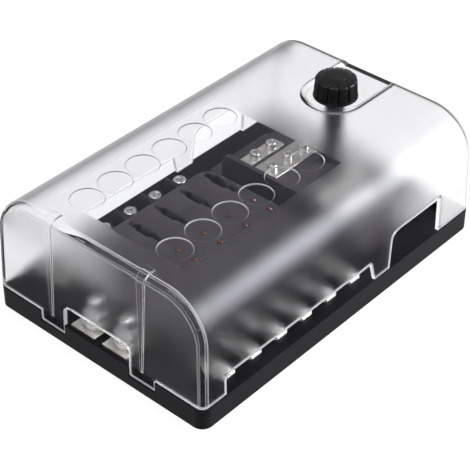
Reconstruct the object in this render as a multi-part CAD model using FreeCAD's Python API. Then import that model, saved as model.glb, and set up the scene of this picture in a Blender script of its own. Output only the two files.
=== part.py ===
import FreeCAD, Part
import math
import os

# Twelve-way blade fuse block with a lift-off cover, in millimetres.
# Origin: centre of the underside. +X runs along the block to the cover knob, +Y to the rear bank
# of fuses, +Z is up. The front bank (-Y) mirrors the rear one. No fuses or cables are fitted.

os.makedirs("parts", exist_ok=True)
V = FreeCAD.Vector

# Overall heights
deck_height = 11.3
cover_top = deck_height + 54.2
corner_radius = 5.5

# Fuse ways: two banks in line, one fuse across the block in each way
ways = 6
pitch = 17.5
way_y = 26.6

# The blade fuse that the sockets are made for
fuse_length = 19.1
fuse_waist = 5.0
fuse_end_width = 3.0
fuse_waist_length = 9.2
blade_width = 5.2
blade_reach = 7.25
socket_play = 0.2
socket_end_play = 0.9
blade_y = fuse_length / 2 - blade_width / 2 - 2.3

# General fits
clearance = 0.3
running_fit = 0.08
thread_play = 0.05
joint_gap = 0.1

# Base: as long and as wide as what stands on it needs
near_margin = 24.6
ground_gap = 17.0
ground_length = 45.2
far_margin = 22.3
screw_set_out = 14.2
side_margin = 10.7
base_wall = 2.6
deck_thickness = 2.4
deck_underside = deck_height - deck_thickness
top_edge_fillet = 0.5
bottom_plate_thickness = 1.8
bottom_plate_recess = 0.3
cavity_floor = bottom_plate_recess + bottom_plate_thickness
rail_width = 15.0
mount_inset_x = 10.3
mount_inset_y = 12.7
mount_hole = 5.2
mount_counterbore = 10.0
mount_counterbore_depth = 4.0
mount_column = 13.0

# Fuse block moulding
block_top = deck_height + 15.3
block_end_margin = 5.0
block_wall = 2.0
block_top_thickness = 2.2
block_corner = 7.5
block_edge_fillet = 0.8
well_wall = 1.2
block_side = 1.55
socket_depth = 6.0
socket_floor = 1.6
blade_slot_length = blade_width + 0.4
blade_slot_width = 1.4
barrier_thickness = 3.4
barrier_past_screws = 2.0
barrier_top = deck_height + 7.7
boss_diameter = 7.0
block_boss_y = 13.5

# Output terminals and their screws
strip_thickness = 1.0
tab_width = 8.6
tab_past_screw = 4.0
tab_set_back = 0.8
tab_corner = 1.5
clip_foot_x = 2.5
clip_grip_x = 0.35
clip_mouth_x = 1.5
clip_sheet = 0.7
clip_bend = 1.2
clip_top = block_top - socket_depth - socket_floor - 0.4
clip_bend_high = clip_top - 2.0
clip_bend_low = clip_bend_high - 3.4
m4_shank = 3.9
m4_head = 7.2
m4_head_height = 2.5
m4_nut = 7.0
m4_nut_height = 3.2
m4_hole = 4.4
washer_side = 7.6
washer_thickness = 0.8
nut_pocket_play = 0.1

# Supply bars, one under each bank, with an input plate at the near end
supply_thickness = 1.2
supply_strip_width = 5.8
input_plate_width = 15.1
input_plate_y = 9.85
input_plate_inset = 1.8
input_neck_past_way = 3.7
stud_inset = 10.8
stud_diameter = 5.9
stud_hole = 6.4
stud_top = deck_height + 15.7
stud_head = 10.0
stud_head_height = 3.5
input_washer = 12.0
input_washer_thickness = 1.2
nut_across_flats = 10.0
nut_height = 5.5
nut_flange = 13.0
nut_flange_height = 1.2

# Circuit board with the blown-fuse lamps
board_half_width = 9.5
board_thickness = 1.6
board_top = block_top - 4.2
board_end_gap = 1.0
peg_diameter = 2.0
lamp_y = 5.1
lamp_diameter = 3.0
lamp_flange = 3.8
lamp_flange_height = 1.0
lamp_proud = 1.0
lamp_hole = lamp_diameter + 2 * 0.2
resistor = (3.2, 1.6, 0.6)

# Ground block beyond the fuses
ground_top = deck_height + 14.3
ground_half_width = 37.0
ground_foot = 12.5
ground_foot_height = 2.7
ridge_thickness = 2.4
ridge_top = deck_height + 16.7
ridge_past_block = 3.5
ridge_corner = 4.0
bar_thickness = 2.0
bar_proud = 0.4
bar_play = 0.15
outer_bar_y = (25.0, 32.6)
outer_bar_end = 6.25
outer_bar_screws = 2
inner_bar_y = (9.2, 22.8)
inner_bar_end = 3.5
inner_bar_screws = 3
ground_pitch = 12.0
outer_bar_first = 9.3
inner_bar_first = 7.3
bar_cover_over_nut = 1.6
ground_head = 5.8
ground_head_height = 3.2

# Cover
wall = 2.1
wall_draft = 0.032
cover_inset = 0.46
long_edge_radius = 22.6
end_edge_radius = 3.8
cover_bottom = deck_height + joint_gap
low_opening_top = deck_height + 10.6
low_opening_before_way = 8.9
low_opening_after_way = 7.4
low_opening_lean = -2.8
low_opening_radius = 3.7
high_opening_top = deck_height + 19.3
high_opening_after_ground = 1.5
high_opening_before_end = 4.6
high_opening_lean = 1.9
high_opening_radius = 4.6
end_opening_top = deck_height + 10.4
end_opening_half = 20.3
end_opening_radius = 3.0
opening_corner = 0.6
opening_cut = 8.0
tongue_y = (end_opening_half, 35.9)
tongue_bottom = deck_height - 5.8
tongue_corner = 1.2
nib_height = 2.0
nib_reach = 0.8
nib_inset = 2.2
rib_top_width = 5.2
rib_bottom_width = 1.7
rib_bottom = deck_height + 1.0
rib_height = 0.7
rib_wrap = 8.5
label_diameter = 16.1
label_depth = 0.4

# Cover knob with its screw, post and threaded insert
knob_before_ground_end = 8.0
pocket_before_ground_end = 9.0
pocket_radius = 15.9
pocket_depth = 2.2
pocket_slope = 2.3
pocket_floor = cover_top - pocket_depth
knob_diameter = 21.8
knob_skirt = 22.2
knob_skirt_height = 1.0
knob_height = 11.2
knob_taper = 0.6
knob_shoulder = 2.2
knob_crown = 1.2
knob_disc = 10.4
knob_flutes = 12
flute_radius = 2.0
flute_depth = 1.1
knob_screw = 5.0
knob_screw_head = 8.0
knob_screw_head_height = 3.0
knob_screw_reach = 12.0
retainer_diameter = 9.0
retainer_thickness = 0.8
post_foot_diameter = 11.0
post_head_diameter = 9.6
insert_diameter = 7.0
insert_length = 9.0

# Self-tapping screws from below
tapping_shank = 3.0
tapping_head = 5.6
tapping_head_height = 2.0
tapping_reach = 10.0
tapping_near = 9.2
tapping_far = 23.2
tapping_corner_x = 4.5
tapping_corner_y = 7.0
plate_screw_reach = 5.0
plate_boss_inset = 28.3
plate_boss = 8.0


def along(axis, u, v, w):
    """Vector with u, v in the plane across the named axis and w along it."""
    if axis == "x":
        return V(w, u, v)
    if axis == "y":
        return V(u, w, v)
    return V(u, v, w)


def outline(corners, axis, level):
    """Closed wire through (u, v, radius) corners, each radius a tangent arc."""
    arcs = []
    count = len(corners)
    for i, (u, v, radius) in enumerate(corners):
        before = corners[i - 1]
        after = corners[(i + 1) % count]
        back = V(before[0] - u, before[1] - v, 0).normalize()
        ahead = V(after[0] - u, after[1] - v, 0).normalize()
        half = math.acos(max(-1.0, min(1.0, back.dot(ahead)))) / 2
        corner = V(u, v, 0)
        if radius <= 0:
            arcs.append((corner, None, corner))
            continue
        reach = radius / math.tan(half)
        middle = (back + ahead).normalize()
        apex = corner + middle * (radius / math.sin(half) - radius)
        arcs.append((corner + back * reach, apex, corner + ahead * reach))
    edges = []
    for i, (start, apex, end) in enumerate(arcs):
        place = [along(axis, p.x, p.y, level) for p in (start, apex or start, end)]
        if apex is not None:
            edges.append(Part.Arc(*place).toShape())
        nxt = arcs[(i + 1) % count][0]
        target = along(axis, nxt.x, nxt.y, level)
        if (target - place[2]).Length > 1e-6:
            edges.append(Part.LineSegment(place[2], target).toShape())
    return Part.Wire(edges)


def prism(corners, axis, low, high):
    """Solid of an outline carried from low to high along its axis."""
    face = Part.Face(outline(corners, axis, low))
    return face.extrude(along(axis, 0, 0, high - low))


def box(x, y, z):
    """Box between two values on each axis."""
    return Part.makeBox(x[1] - x[0], y[1] - y[0], z[1] - z[0], V(x[0], y[0], z[0]))


def rounded_box(x, y, z, radius):
    """Box with its four upright edges rounded."""
    corners = [(x[0], y[0], radius), (x[1], y[0], radius), (x[1], y[1], radius), (x[0], y[1], radius)]
    return prism(corners, "z", z[0], z[1])


def rod(x, y, low, high, diameter):
    """Upright cylinder."""
    return Part.makeCylinder(diameter / 2, high - low, V(x, y, low))


def turned(x, y, profile):
    """Solid turned about an upright axis from (radius, height) points."""
    points = [V(x + r, y, z) for r, z in profile]
    face = Part.Face(Part.makePolygon(points + points[:1]))
    return face.revolve(V(x, y, 0), V(0, 0, 1), 360)


def union(shapes):
    """One shape of several that meet."""
    shapes = list(shapes)
    return shapes[0].fuse(shapes[1:]) if len(shapes) > 1 else shapes[0]


def front(shape):
    """The same shape on the front bank."""
    return shape.mirror(V(0, 0, 0), V(0, 1, 0))


def both(shape):
    """A rear shape and its front twin."""
    return [shape, front(shape)]


def save(name, shape, separate=False):
    """Write one node; separate keeps a group of like pieces as solids of its own."""
    solids = shape if separate else [shape.removeSplitter()]
    result = Part.Compound(solids) if separate else solids[0]
    if not separate and len(result.Solids) == 1:
        result = result.Solids[0]
    result.exportStep("parts/" + name + ".step")
    print(name, "solids", len(result.Solids), "valid", result.isValid())


def pan_screw(x, y, seat, head, head_height, shank, tip, upright=True):
    """Plain pan-head screw: its head sits on seat, its shank ends at tip."""
    side = 1 if upright else -1
    rim = seat + side * head_height * 0.6
    crown = seat + side * head_height
    profile = [(0, tip), (shank / 2, tip), (shank / 2, seat), (head / 2, seat), (head / 2, rim)]
    profile += [(head * 0.3, crown), (0, crown)]
    return turned(x, y, profile)


def square_nut(x, y, low, side, height, bore):
    """Square nut with a plain bore of the thread's size."""
    half = side / 2
    body = box((x - half, x + half), (y - half, y + half), (low, low + height))
    return body.cut(rod(x, y, low - 1, low + height + 1, bore))


def hexagon(x, y, low, high, across_flats):
    """Upright hexagonal prism."""
    radius = across_flats / math.sqrt(3)
    corners = [(x + radius * math.cos(math.radians(60 * i)), y + radius * math.sin(math.radians(60 * i)), 0)
               for i in range(6)]
    return prism(corners, "z", low, high)


# Places that several pieces share
base_length = near_margin + (ways - 1) * pitch + ground_gap + ground_length + far_margin
block_half_width = way_y + fuse_length / 2 + socket_end_play + well_wall + block_side
screw_y = block_half_width + screw_set_out
base_width = 2 * (screw_y + side_margin)
near_end = -base_length / 2
far_end = base_length / 2
first_way_x = near_end + near_margin
way_xs = [first_way_x + i * pitch for i in range(ways)]
last_way_x = way_xs[-1]
between_xs = [x + pitch / 2 for x in way_xs[:-1]]
block_x0 = first_way_x - block_end_margin
block_x1 = last_way_x + block_end_margin
ground_x0 = last_way_x + ground_gap
ground_x1 = ground_x0 + ground_length
ground_foot_half_width = ground_half_width + ground_foot
ridge_half_width = ground_half_width + ridge_past_block
knob_x = ground_x1 - knob_before_ground_end
pocket_x = ground_x1 - pocket_before_ground_end
stud_x = near_end + stud_inset
input_plate_x0 = near_end + input_plate_inset
input_neck_x = first_way_x + input_neck_past_way
barrier_reach = screw_y + barrier_past_screws
tab_end_y = screw_y + tab_past_screw
mount_x = base_length / 2 - mount_inset_x
mount_y = base_width / 2 - mount_inset_y
plate_boss_x = far_end - plate_boss_inset
bar_x0 = ground_x0 + ridge_thickness + bar_play
outer_bar_length = outer_bar_first + (outer_bar_screws - 1) * ground_pitch + outer_bar_end - bar_play
inner_bar_length = inner_bar_first + (inner_bar_screws - 1) * ground_pitch + inner_bar_end - bar_play
low_opening_x = (first_way_x - low_opening_before_way, last_way_x + low_opening_after_way)
high_opening_x = (ground_x0 + high_opening_after_ground, ground_x1 - high_opening_before_end)
inner_half_x = base_length / 2 - base_wall
inner_half_y = base_width / 2 - base_wall
rail_y = (inner_half_y - rail_width, inner_half_y)
rail_x = (first_way_x - 0.75 * pitch, last_way_x + 0.75 * pitch)
strip_top = deck_height + strip_thickness
supply_top = deck_height + supply_thickness
socket_bottom = block_top - socket_depth
well_bottom = socket_bottom - socket_floor
block_ceiling = block_top - block_top_thickness
board_bottom = board_top - board_thickness
outer_clip_y = way_y + blade_y
inner_clip_y = way_y - blade_y
washer_top = strip_top + washer_thickness
nut_side_y = (screw_y - m4_nut / 2, screw_y + m4_nut / 2)
bar_floor = ground_top + bar_proud - bar_thickness
bar_top = ground_top + bar_proud
ground_nut_top = bar_floor - bar_cover_over_nut
outer_ground_xs = [ground_x0 + ridge_thickness + outer_bar_first + i * ground_pitch
                   for i in range(outer_bar_screws)]
inner_ground_xs = [ground_x0 + ridge_thickness + inner_bar_first + i * ground_pitch
                   for i in range(inner_bar_screws)]
ground_spots = [(x, sum(outer_bar_y) / 2) for x in outer_ground_xs]
ground_spots += [(x, sum(inner_bar_y) / 2) for x in inner_ground_xs]
ground_spots += [(x, -y) for x, y in ground_spots]
block_screw_spots = [(x, s * block_boss_y) for x in (between_xs[0], between_xs[-1]) for s in (1, -1)]
ground_screw_spots = [(ground_x0 + tapping_near, 0), (ground_x0 + tapping_far, 0)]
ground_screw_spots += [(ground_x1 - tapping_corner_x, s * (ground_half_width - tapping_corner_y))
                       for s in (1, -1)]
plate_screw_spots = [(x, s * screw_y) for x in (between_xs[0], between_xs[-1], plate_boss_x)
                     for s in (1, -1)]
mount_spots = [(i * mount_x, j * mount_y) for i in (1, -1) for j in (1, -1)]
stud_spots = [(stud_x, input_plate_y), (stud_x, -input_plate_y)]
cover_half_x = base_length / 2 - cover_inset
cover_half_y = base_width / 2 - cover_inset
tongue_mid_y = sum(tongue_y) / 2
retainer_top = pocket_floor - wall - joint_gap
post_top = retainer_top - retainer_thickness - 0.6
knob_screw_tip = pocket_floor - knob_screw_reach
notch_depth = cover_inset + wall + clearance
notch_y = (tongue_y[0] - clearance, tongue_y[1] + clearance)
nib_y = (tongue_y[0] + nib_inset, tongue_y[1] - nib_inset)


# Base
def make_base():
    """Tray with a closed deck, side rails for the nuts, corner columns and notched ends."""
    outer = rounded_box((-base_length / 2, base_length / 2), (-base_width / 2, base_width / 2),
                        (0, deck_height), corner_radius)
    rim = [e for e in outer.Edges if min(v.Z for v in e.Vertexes) > deck_height - 0.01]
    outer = outer.makeFillet(top_edge_fillet, rim)
    hollow = rounded_box((-inner_half_x, inner_half_x), (-inner_half_y, inner_half_y),
                         (-1, deck_underside), corner_radius - base_wall)
    body = outer.cut(hollow)
    solid_parts = []
    for s in (1, -1):
        y = sorted((s * rail_y[0], s * (rail_y[1] + 0.5)))
        solid_parts.append(box(rail_x, y, (cavity_floor, deck_underside + 0.5)))
        y = sorted((s * (notch_y[0] - 2), s * (notch_y[1] + 2)))
        depth = notch_depth + nib_reach + clearance + 2
        solid_parts.append(box((-base_length / 2 + 1, -base_length / 2 + depth), y,
                               (cavity_floor, deck_underside + 0.5)))
    for x, y in mount_spots:
        solid_parts.append(rod(x, y, 0, deck_underside + 0.5, mount_column))
    for y in (screw_y, -screw_y):
        solid_parts.append(rod(plate_boss_x, y, cavity_floor, deck_underside + 0.5, plate_boss))
    pocket_half = stud_head / 2 + nut_pocket_play
    for x, y in stud_spots:
        half = pocket_half + 2
        solid_parts.append(box((x - half, x + half), (y - half, y + half),
                               (cavity_floor, deck_underside + 0.5)))
    body = union([body] + solid_parts)
    cuts = []
    for x, y in mount_spots:
        cuts.append(rod(x, y, -1, deck_height + 1, mount_hole))
        cuts.append(rod(x, y, deck_height - mount_counterbore_depth, deck_height + 1, mount_counterbore))
    half = m4_nut / 2 + nut_pocket_play
    for x in way_xs:
        for y in (screw_y, -screw_y):
            cuts.append(rod(x, y, cavity_floor - 1, deck_height + 1, m4_hole))
            cuts.append(box((x - half, x + half), (y - half, y + half), (cavity_floor - 1, deck_underside)))
    for x, y in stud_spots:
        cuts.append(rod(x, y, cavity_floor - 1, deck_height + 1, stud_hole))
        cuts.append(box((x - pocket_half, x + pocket_half), (y - pocket_half, y + pocket_half),
                        (cavity_floor - 1, deck_underside)))
    for x, y in block_screw_spots + ground_screw_spots + [(knob_x, 0)]:
        cuts.append(rod(x, y, deck_underside - 1, deck_height + 1, tapping_shank + 2 * clearance))
    for x, y in plate_screw_spots:
        cuts.append(rod(x, y, 0, cavity_floor + plate_screw_reach, tapping_shank + thread_play))
    for s in (1, -1):
        y = sorted((s * notch_y[0], s * notch_y[1]))
        x0 = -base_length / 2
        cuts.append(box((x0 - 1, x0 + notch_depth), y, (tongue_bottom - clearance, deck_height + 1)))
        y = sorted((s * (nib_y[0] - clearance), s * (nib_y[1] + clearance)))
        cuts.append(box((x0 - 1, x0 + notch_depth + nib_reach), y,
                        (tongue_bottom - clearance, deck_height + 1)))
    return body.cut(cuts)


def make_bottom_plate():
    """Insulating plate let into the underside, countersunk for its screws."""
    play = joint_gap
    plate = rounded_box((-inner_half_x + play, inner_half_x - play),
                        (-inner_half_y + play, inner_half_y - play),
                        (bottom_plate_recess, cavity_floor), corner_radius - base_wall)
    cuts = [rod(x, y, -1, cavity_floor + 1, mount_column + 2 * play) for x, y in mount_spots]
    for x, y in mount_spots:
        edge_x = math.copysign(inner_half_x + 1, x)
        edge_y = math.copysign(inner_half_y + 1, y)
        cuts.append(box(sorted((x, edge_x)), sorted((y - math.copysign(mount_column / 2 + play, y), edge_y)),
                        (-1, cavity_floor + 1)))
        cuts.append(box(sorted((x - math.copysign(mount_column / 2 + play, x), edge_x)), sorted((y, edge_y)),
                        (-1, cavity_floor + 1)))
    for x, y in plate_screw_spots:
        cuts.append(flat_screw(x, y, play / 2))
    return plate.cut(cuts)


def flat_screw(x, y, grow):
    """Countersunk screw from below, grown all round to make its seat."""
    head = tapping_head / 2 + grow
    shank = tapping_shank / 2 + grow
    low = bottom_plate_recess
    neck = low + head - shank
    tip = cavity_floor + plate_screw_reach - 0.5
    return turned(x, y, [(0, low), (head, low), (shank, neck), (shank, tip), (0, tip)])


# Fuse block
def socket_shape(x, low, high):
    """Top view of a blade fuse, narrow at its ends and wide at its waist, with play."""
    length = fuse_length / 2 + socket_end_play
    waist = fuse_waist / 2 + socket_play / 2
    end = fuse_end_width / 2 + socket_play / 2
    half = fuse_waist_length / 2
    side = [(end, -length), (end, -half), (waist, -half), (waist, half), (end, half), (end, length)]
    corners = [(x + u, way_y + v, 0) for u, v in side]
    corners += [(x - u, way_y + v, 0) for u, v in reversed(side)]
    return prism(corners, "z", low, high)


def make_fuse_block():
    """Housing with a socket well for each fuse, lamp holes, bosses and terminal barriers."""
    outer = rounded_box((block_x0, block_x1), (-block_half_width, block_half_width),
                        (deck_height, block_top), block_corner)
    rim = [e for e in outer.Edges if min(v.Z for v in e.Vertexes) > block_top - 0.01]
    outer = outer.makeFillet(block_edge_fillet, rim)
    hollow = rounded_box((block_x0 + block_wall, block_x1 - block_wall),
                         (block_wall - block_half_width, block_half_width - block_wall),
                         (deck_height - 1, block_ceiling), block_corner - block_wall)
    body = outer.cut(hollow)
    added = []
    cuts = []
    well_x = fuse_waist / 2 + socket_play / 2 + well_wall
    well_y = fuse_length / 2 + socket_end_play + well_wall
    for x in way_xs:
        well = box((x - well_x, x + well_x), (way_y - well_y, way_y + well_y),
                   (well_bottom, block_ceiling + 0.5))
        added += both(well.common(outer))
        cuts += both(socket_shape(x, socket_bottom, block_top + 1))
        for y in (inner_clip_y, outer_clip_y):
            cuts += both(box((x - blade_slot_width / 2, x + blade_slot_width / 2),
                             (y - blade_slot_length / 2, y + blade_slot_length / 2),
                             (well_bottom - 1, socket_bottom + 1)))
        cuts += both(rod(x, lamp_y, block_ceiling - 1, block_top + 1, lamp_hole))
        cuts += both(box((x - clip_foot_x - clearance, x + clip_foot_x + clearance),
                         (block_half_width - block_corner - 1, block_half_width + 1),
                         (deck_height - 1, strip_top + clearance)))
    for x in between_xs:
        added += both(box((x - barrier_thickness / 2, x + barrier_thickness / 2),
                          (block_half_width - 0.5, barrier_reach), (deck_height, barrier_top)))
    for x, y in block_screw_spots:
        added.append(rod(x, y, deck_height, block_ceiling + 0.5, boss_diameter))
        cuts.append(rod(x, y, deck_height - 1, deck_height + tapping_reach + 1, tapping_shank + thread_play))
    for x, y in peg_spots():
        added.append(rod(x, y, board_top, block_ceiling + 0.5, peg_diameter + 2.4))
        added.append(rod(x, y, board_bottom - 0.8, board_top + 0.5, peg_diameter))
    cuts += both(box((block_x0 - 1, block_x0 + block_wall + 1),
                     (input_plate_y - input_plate_width / 2 - clearance,
                      input_plate_y + input_plate_width / 2 + clearance),
                     (deck_height - 1, supply_top + clearance)))
    return union([body] + added).cut(cuts)


def peg_spots():
    """Four pegs that carry the circuit board, between the lamps."""
    return [(x, 0) for x in (between_xs[0], between_xs[1], between_xs[3], between_xs[4])]


# Contacts
def clip_pair(x, y, foot):
    """Two sprung leaves on a web: upright, bent in to grip a blade, flared at the mouth."""
    sheet = clip_sheet
    inner = [(clip_foot_x - sheet, foot), (clip_foot_x - sheet, clip_bend_low),
             (clip_grip_x, clip_bend_high), (clip_mouth_x - sheet * 0.5, clip_top)]
    outer = [(clip_mouth_x + sheet * 0.5, clip_top), (clip_grip_x + sheet, clip_bend_high),
             (clip_foot_x, clip_bend_low), (clip_foot_x, foot)]
    radii = [0, clip_bend, clip_bend, 0, 0, clip_bend, clip_bend, 0]
    leaves = []
    for s in (1, -1):
        corners = [(x + s * u, v, r) for (u, v), r in zip(inner + outer, radii)]
        leaves.append(prism(corners, "y", y - blade_width / 2, y + blade_width / 2))
    return leaves


def make_output_terminal(x):
    """Screw tab outside the block and a narrower tongue to the outer clip of one way, in one piece."""
    half = tab_width / 2
    neck = clip_foot_x
    inner_end = outer_clip_y - blade_width / 2
    shoulder = block_half_width + tab_set_back
    side = [(neck, inner_end, 0), (neck, shoulder, 0), (half, shoulder, 0), (half, tab_end_y, tab_corner)]
    corners = [(x + u, v, r) for u, v, r in side] + [(x - u, v, r) for u, v, r in reversed(side)]
    strip = prism(corners, "z", deck_height, strip_top)
    strip = strip.cut(rod(x, screw_y, deck_height - 1, strip_top + 1, m4_hole))
    return union([strip] + clip_pair(x, outer_clip_y, strip_top - 0.2))


def make_supply_bar():
    """Input plate, neck and strip with the inner clips of one bank, in one piece."""
    z = (deck_height, supply_top)
    plate_y = (input_plate_y - input_plate_width / 2, input_plate_y + input_plate_width / 2)
    strip_y = (inner_clip_y - supply_strip_width / 2, inner_clip_y + supply_strip_width / 2)
    strip_x = (first_way_x - clip_foot_x, last_way_x + clip_foot_x)
    plate = box((input_plate_x0, input_neck_x), plate_y, z)
    neck = box((strip_x[0], input_neck_x), (plate_y[0], strip_y[1]), z)
    strip = box(strip_x, strip_y, z)
    bar = union([plate, neck, strip])
    bar = bar.cut(rod(stud_x, input_plate_y, deck_height - 1, supply_top + 1, stud_hole))
    clips = []
    for x in way_xs:
        clips += clip_pair(x, inner_clip_y, supply_top - 0.2)
    return union([bar] + clips)


# Screws, nuts and washers
def make_terminal_fasteners():
    """Screw, square washer and square nut for each output tab."""
    screws, washers, nuts = [], [], []
    for x in way_xs:
        for y in (screw_y, -screw_y):
            tip = deck_underside - m4_nut_height - 0.8
            screws.append(pan_screw(x, y, washer_top, m4_head, m4_head_height, m4_shank, tip))
            half = washer_side / 2
            plate = rounded_box((x - half, x + half), (y - half, y + half), (strip_top, washer_top), 0.8)
            washers.append(plate.cut(rod(x, y, strip_top - 1, washer_top + 1, m4_hole)))
            nuts.append(square_nut(x, y, deck_underside - m4_nut_height, m4_nut, m4_nut_height,
                                   m4_shank + 2 * thread_play))
    return screws, washers, nuts


def make_input_fasteners():
    """Square-headed stud, washer and flange nut for each input plate."""
    studs, washers, nuts = [], [], []
    for x, y in stud_spots:
        half = stud_head / 2
        head = box((x - half, x + half), (y - half, y + half),
                   (deck_underside - stud_head_height, deck_underside))
        shank = rod(x, y, deck_underside - 0.5, stud_top, stud_diameter)
        tip = [e for e in shank.Edges if min(v.Z for v in e.Vertexes) > stud_top - 0.01]
        studs.append(head.fuse(shank.makeChamfer(0.8, tip)))
        low = supply_top
        high = low + input_washer_thickness
        washers.append(rod(x, y, low, high, input_washer).cut(rod(x, y, low - 1, high + 1, stud_hole)))
        nut = hexagon(x, y, high, high + nut_height, nut_across_flats)
        nut = nut.fuse(rod(x, y, high, high + nut_flange_height, nut_flange))
        nuts.append(nut.cut(rod(x, y, high - 1, high + nut_height + 1, stud_diameter + 2 * thread_play)))
    return studs, washers, nuts


def make_tapping_screws():
    """Screws from below the deck into the fuse block and the ground block."""
    return [pan_screw(x, y, deck_underside, tapping_head, tapping_head_height, tapping_shank,
                      deck_height + tapping_reach, upright=False)
            for x, y in block_screw_spots + ground_screw_spots]


# Circuit board
def make_board():
    """Board under the block's centre strip, on four pegs."""
    x = (block_x0 + block_wall + board_end_gap, block_x1 - block_wall - board_end_gap)
    board = box(x, (-board_half_width, board_half_width), (board_bottom, board_top))
    return board.cut([rod(px, py, board_bottom - 1, board_top + 1, peg_diameter + 0.2)
                      for px, py in peg_spots()])


def make_lamps():
    """Domed indicator lamps, one for each fuse, standing on the board."""
    lamps = []
    dome = lamp_diameter / 2
    shoulder = block_top + lamp_proud - dome
    for x in way_xs:
        for y in (lamp_y, -lamp_y):
            flange = rod(x, y, board_top, board_top + lamp_flange_height, lamp_flange)
            body = rod(x, y, board_top, shoulder, lamp_diameter)
            cap = Part.makeSphere(dome, V(x, y, shoulder), V(0, 0, 1), 0, 90, 360)
            lamps.append(union([flange, body, cap]).removeSplitter())
    return lamps


def make_resistors():
    """Chip resistor beside each lamp, on the board's underside."""
    long, wide, high = resistor
    return [box((x - long / 2, x + long / 2), (y - wide / 2, y + wide / 2),
                (board_bottom - high, board_bottom))
            for x in way_xs for y in (lamp_y, -lamp_y)]


# Ground block
def make_ground_block():
    """Carrier for the four ground bars with a foot flange, a dividing ridge and nut pockets."""
    body = rounded_box((ground_x0, ground_x1), (-ground_half_width, ground_half_width),
                       (deck_height, ground_top), 2.0)
    foot = rounded_box((ground_x0, ground_x1), (-ground_foot_half_width, ground_foot_half_width),
                       (deck_height, deck_height + ground_foot_height), 2.0)
    half = ridge_half_width
    ridge = prism([(-half, deck_height, 0), (half, deck_height, 0), (half, ridge_top, ridge_corner),
                   (-half, ridge_top, ridge_corner)], "x", ground_x0, ground_x0 + ridge_thickness)
    cuts = [rod(knob_x, 0, deck_height - 1, ground_top + 1, post_foot_diameter + 2 * clearance)]
    for y, length in ((outer_bar_y, outer_bar_length), (inner_bar_y, inner_bar_length)):
        cuts += both(box((bar_x0 - bar_play, bar_x0 + length + bar_play), (y[0] - bar_play, y[1] + bar_play),
                         (bar_floor, ridge_top + 1)))
    side = m4_nut / 2 + nut_pocket_play
    for x, y in ground_spots:
        cuts.append(box((x - side, x + side), (y - side, y + side), (deck_height - 1, ground_nut_top)))
        cuts.append(rod(x, y, ground_nut_top - 1, bar_floor + 1, m4_hole))
    for x, y in ground_screw_spots:
        cuts.append(rod(x, y, deck_height - 1, deck_height + tapping_reach + 1, tapping_shank + thread_play))
    return union([body, foot, ridge]).cut(cuts)


def make_ground_bar(y, length, screw_xs):
    """Flat bar with a row of screw holes."""
    bar = rounded_box((bar_x0, bar_x0 + length), y, (bar_floor, bar_top), 0.8)
    mid = sum(y) / 2
    return bar.cut([rod(x, mid, bar_floor - 1, bar_top + 1, m4_hole) for x in screw_xs])


def make_ground_fasteners():
    """Screw and square nut for each hole of the ground bars."""
    screws, nuts = [], []
    for x, y in ground_spots:
        tip = ground_nut_top - m4_nut_height - 0.8
        screws.append(pan_screw(x, y, bar_top, ground_head, ground_head_height, m4_shank, tip))
        nuts.append(square_nut(x, y, ground_nut_top - m4_nut_height, m4_nut, m4_nut_height,
                               m4_shank + 2 * thread_play))
    return screws, nuts


# Cover
def cover_form(grow):
    """Drafted box, its long top edges rolled over and its ends softly rounded, grown by a wall."""
    low = cover_bottom if grow >= 0 else cover_bottom - 1
    top = cover_top + grow
    wires = []
    for z in (low, top):
        lean = wall_draft * (z - cover_bottom)
        half_x = cover_half_x + grow - lean
        half_y = cover_half_y + grow - lean
        wires.append(outline([(-half_x, -half_y, 0), (half_x, -half_y, 0), (half_x, half_y, 0),
                              (-half_x, half_y, 0)], "z", z))
    form = Part.makeLoft(wires, True, True)
    long_edges = [e for e in form.Edges
                  if min(v.Z for v in e.Vertexes) > top - 0.01
                  and abs(e.Vertexes[0].Y - e.Vertexes[1].Y) < 0.01]
    form = form.makeFillet(long_edge_radius + grow, long_edges)
    ends = sorted(form.Faces, key=lambda f: f.CenterOfMass.x)
    edges = []
    for face in (ends[0], ends[-1]):
        edges += [e for e in face.Edges if max(v.Z for v in e.Vertexes) > low + 0.01]
    return form.makeFillet(end_edge_radius + grow, edges)


def pocket_outline(radius, z):
    """U shape round the knob, open through the far end."""
    end = base_length / 2 + 2
    return outline([(end, -radius, 0), (pocket_x - radius, -radius, radius - 0.001),
                    (pocket_x - radius, radius, radius - 0.001), (end, radius, 0)], "z", z)


def knob_pocket(grow, high):
    """Shallow pocket with sloping sides, grown by the wall for the cover's underside."""
    slope = pocket_slope / pocket_depth
    low = pocket_floor + grow
    wires = []
    for z in (low, high):
        radius = pocket_radius + (z - cover_top) * slope - grow * math.hypot(1, slope)
        wires.append(pocket_outline(radius, z))
    return Part.makeLoft(wires, True, True)


def opening_shape(x, lean, top, radius, leaning_left):
    """Outline of one cable opening: rounded at the upper left, one side leaning by lean at the top."""
    left = x[0] + (lean if leaning_left else 0)
    right = x[1] + (0 if leaning_left else lean)
    return [(x[0], cover_bottom - 1, 0), (x[1], cover_bottom - 1, 0), (right, top, opening_corner),
            (left, top, radius)]


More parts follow.
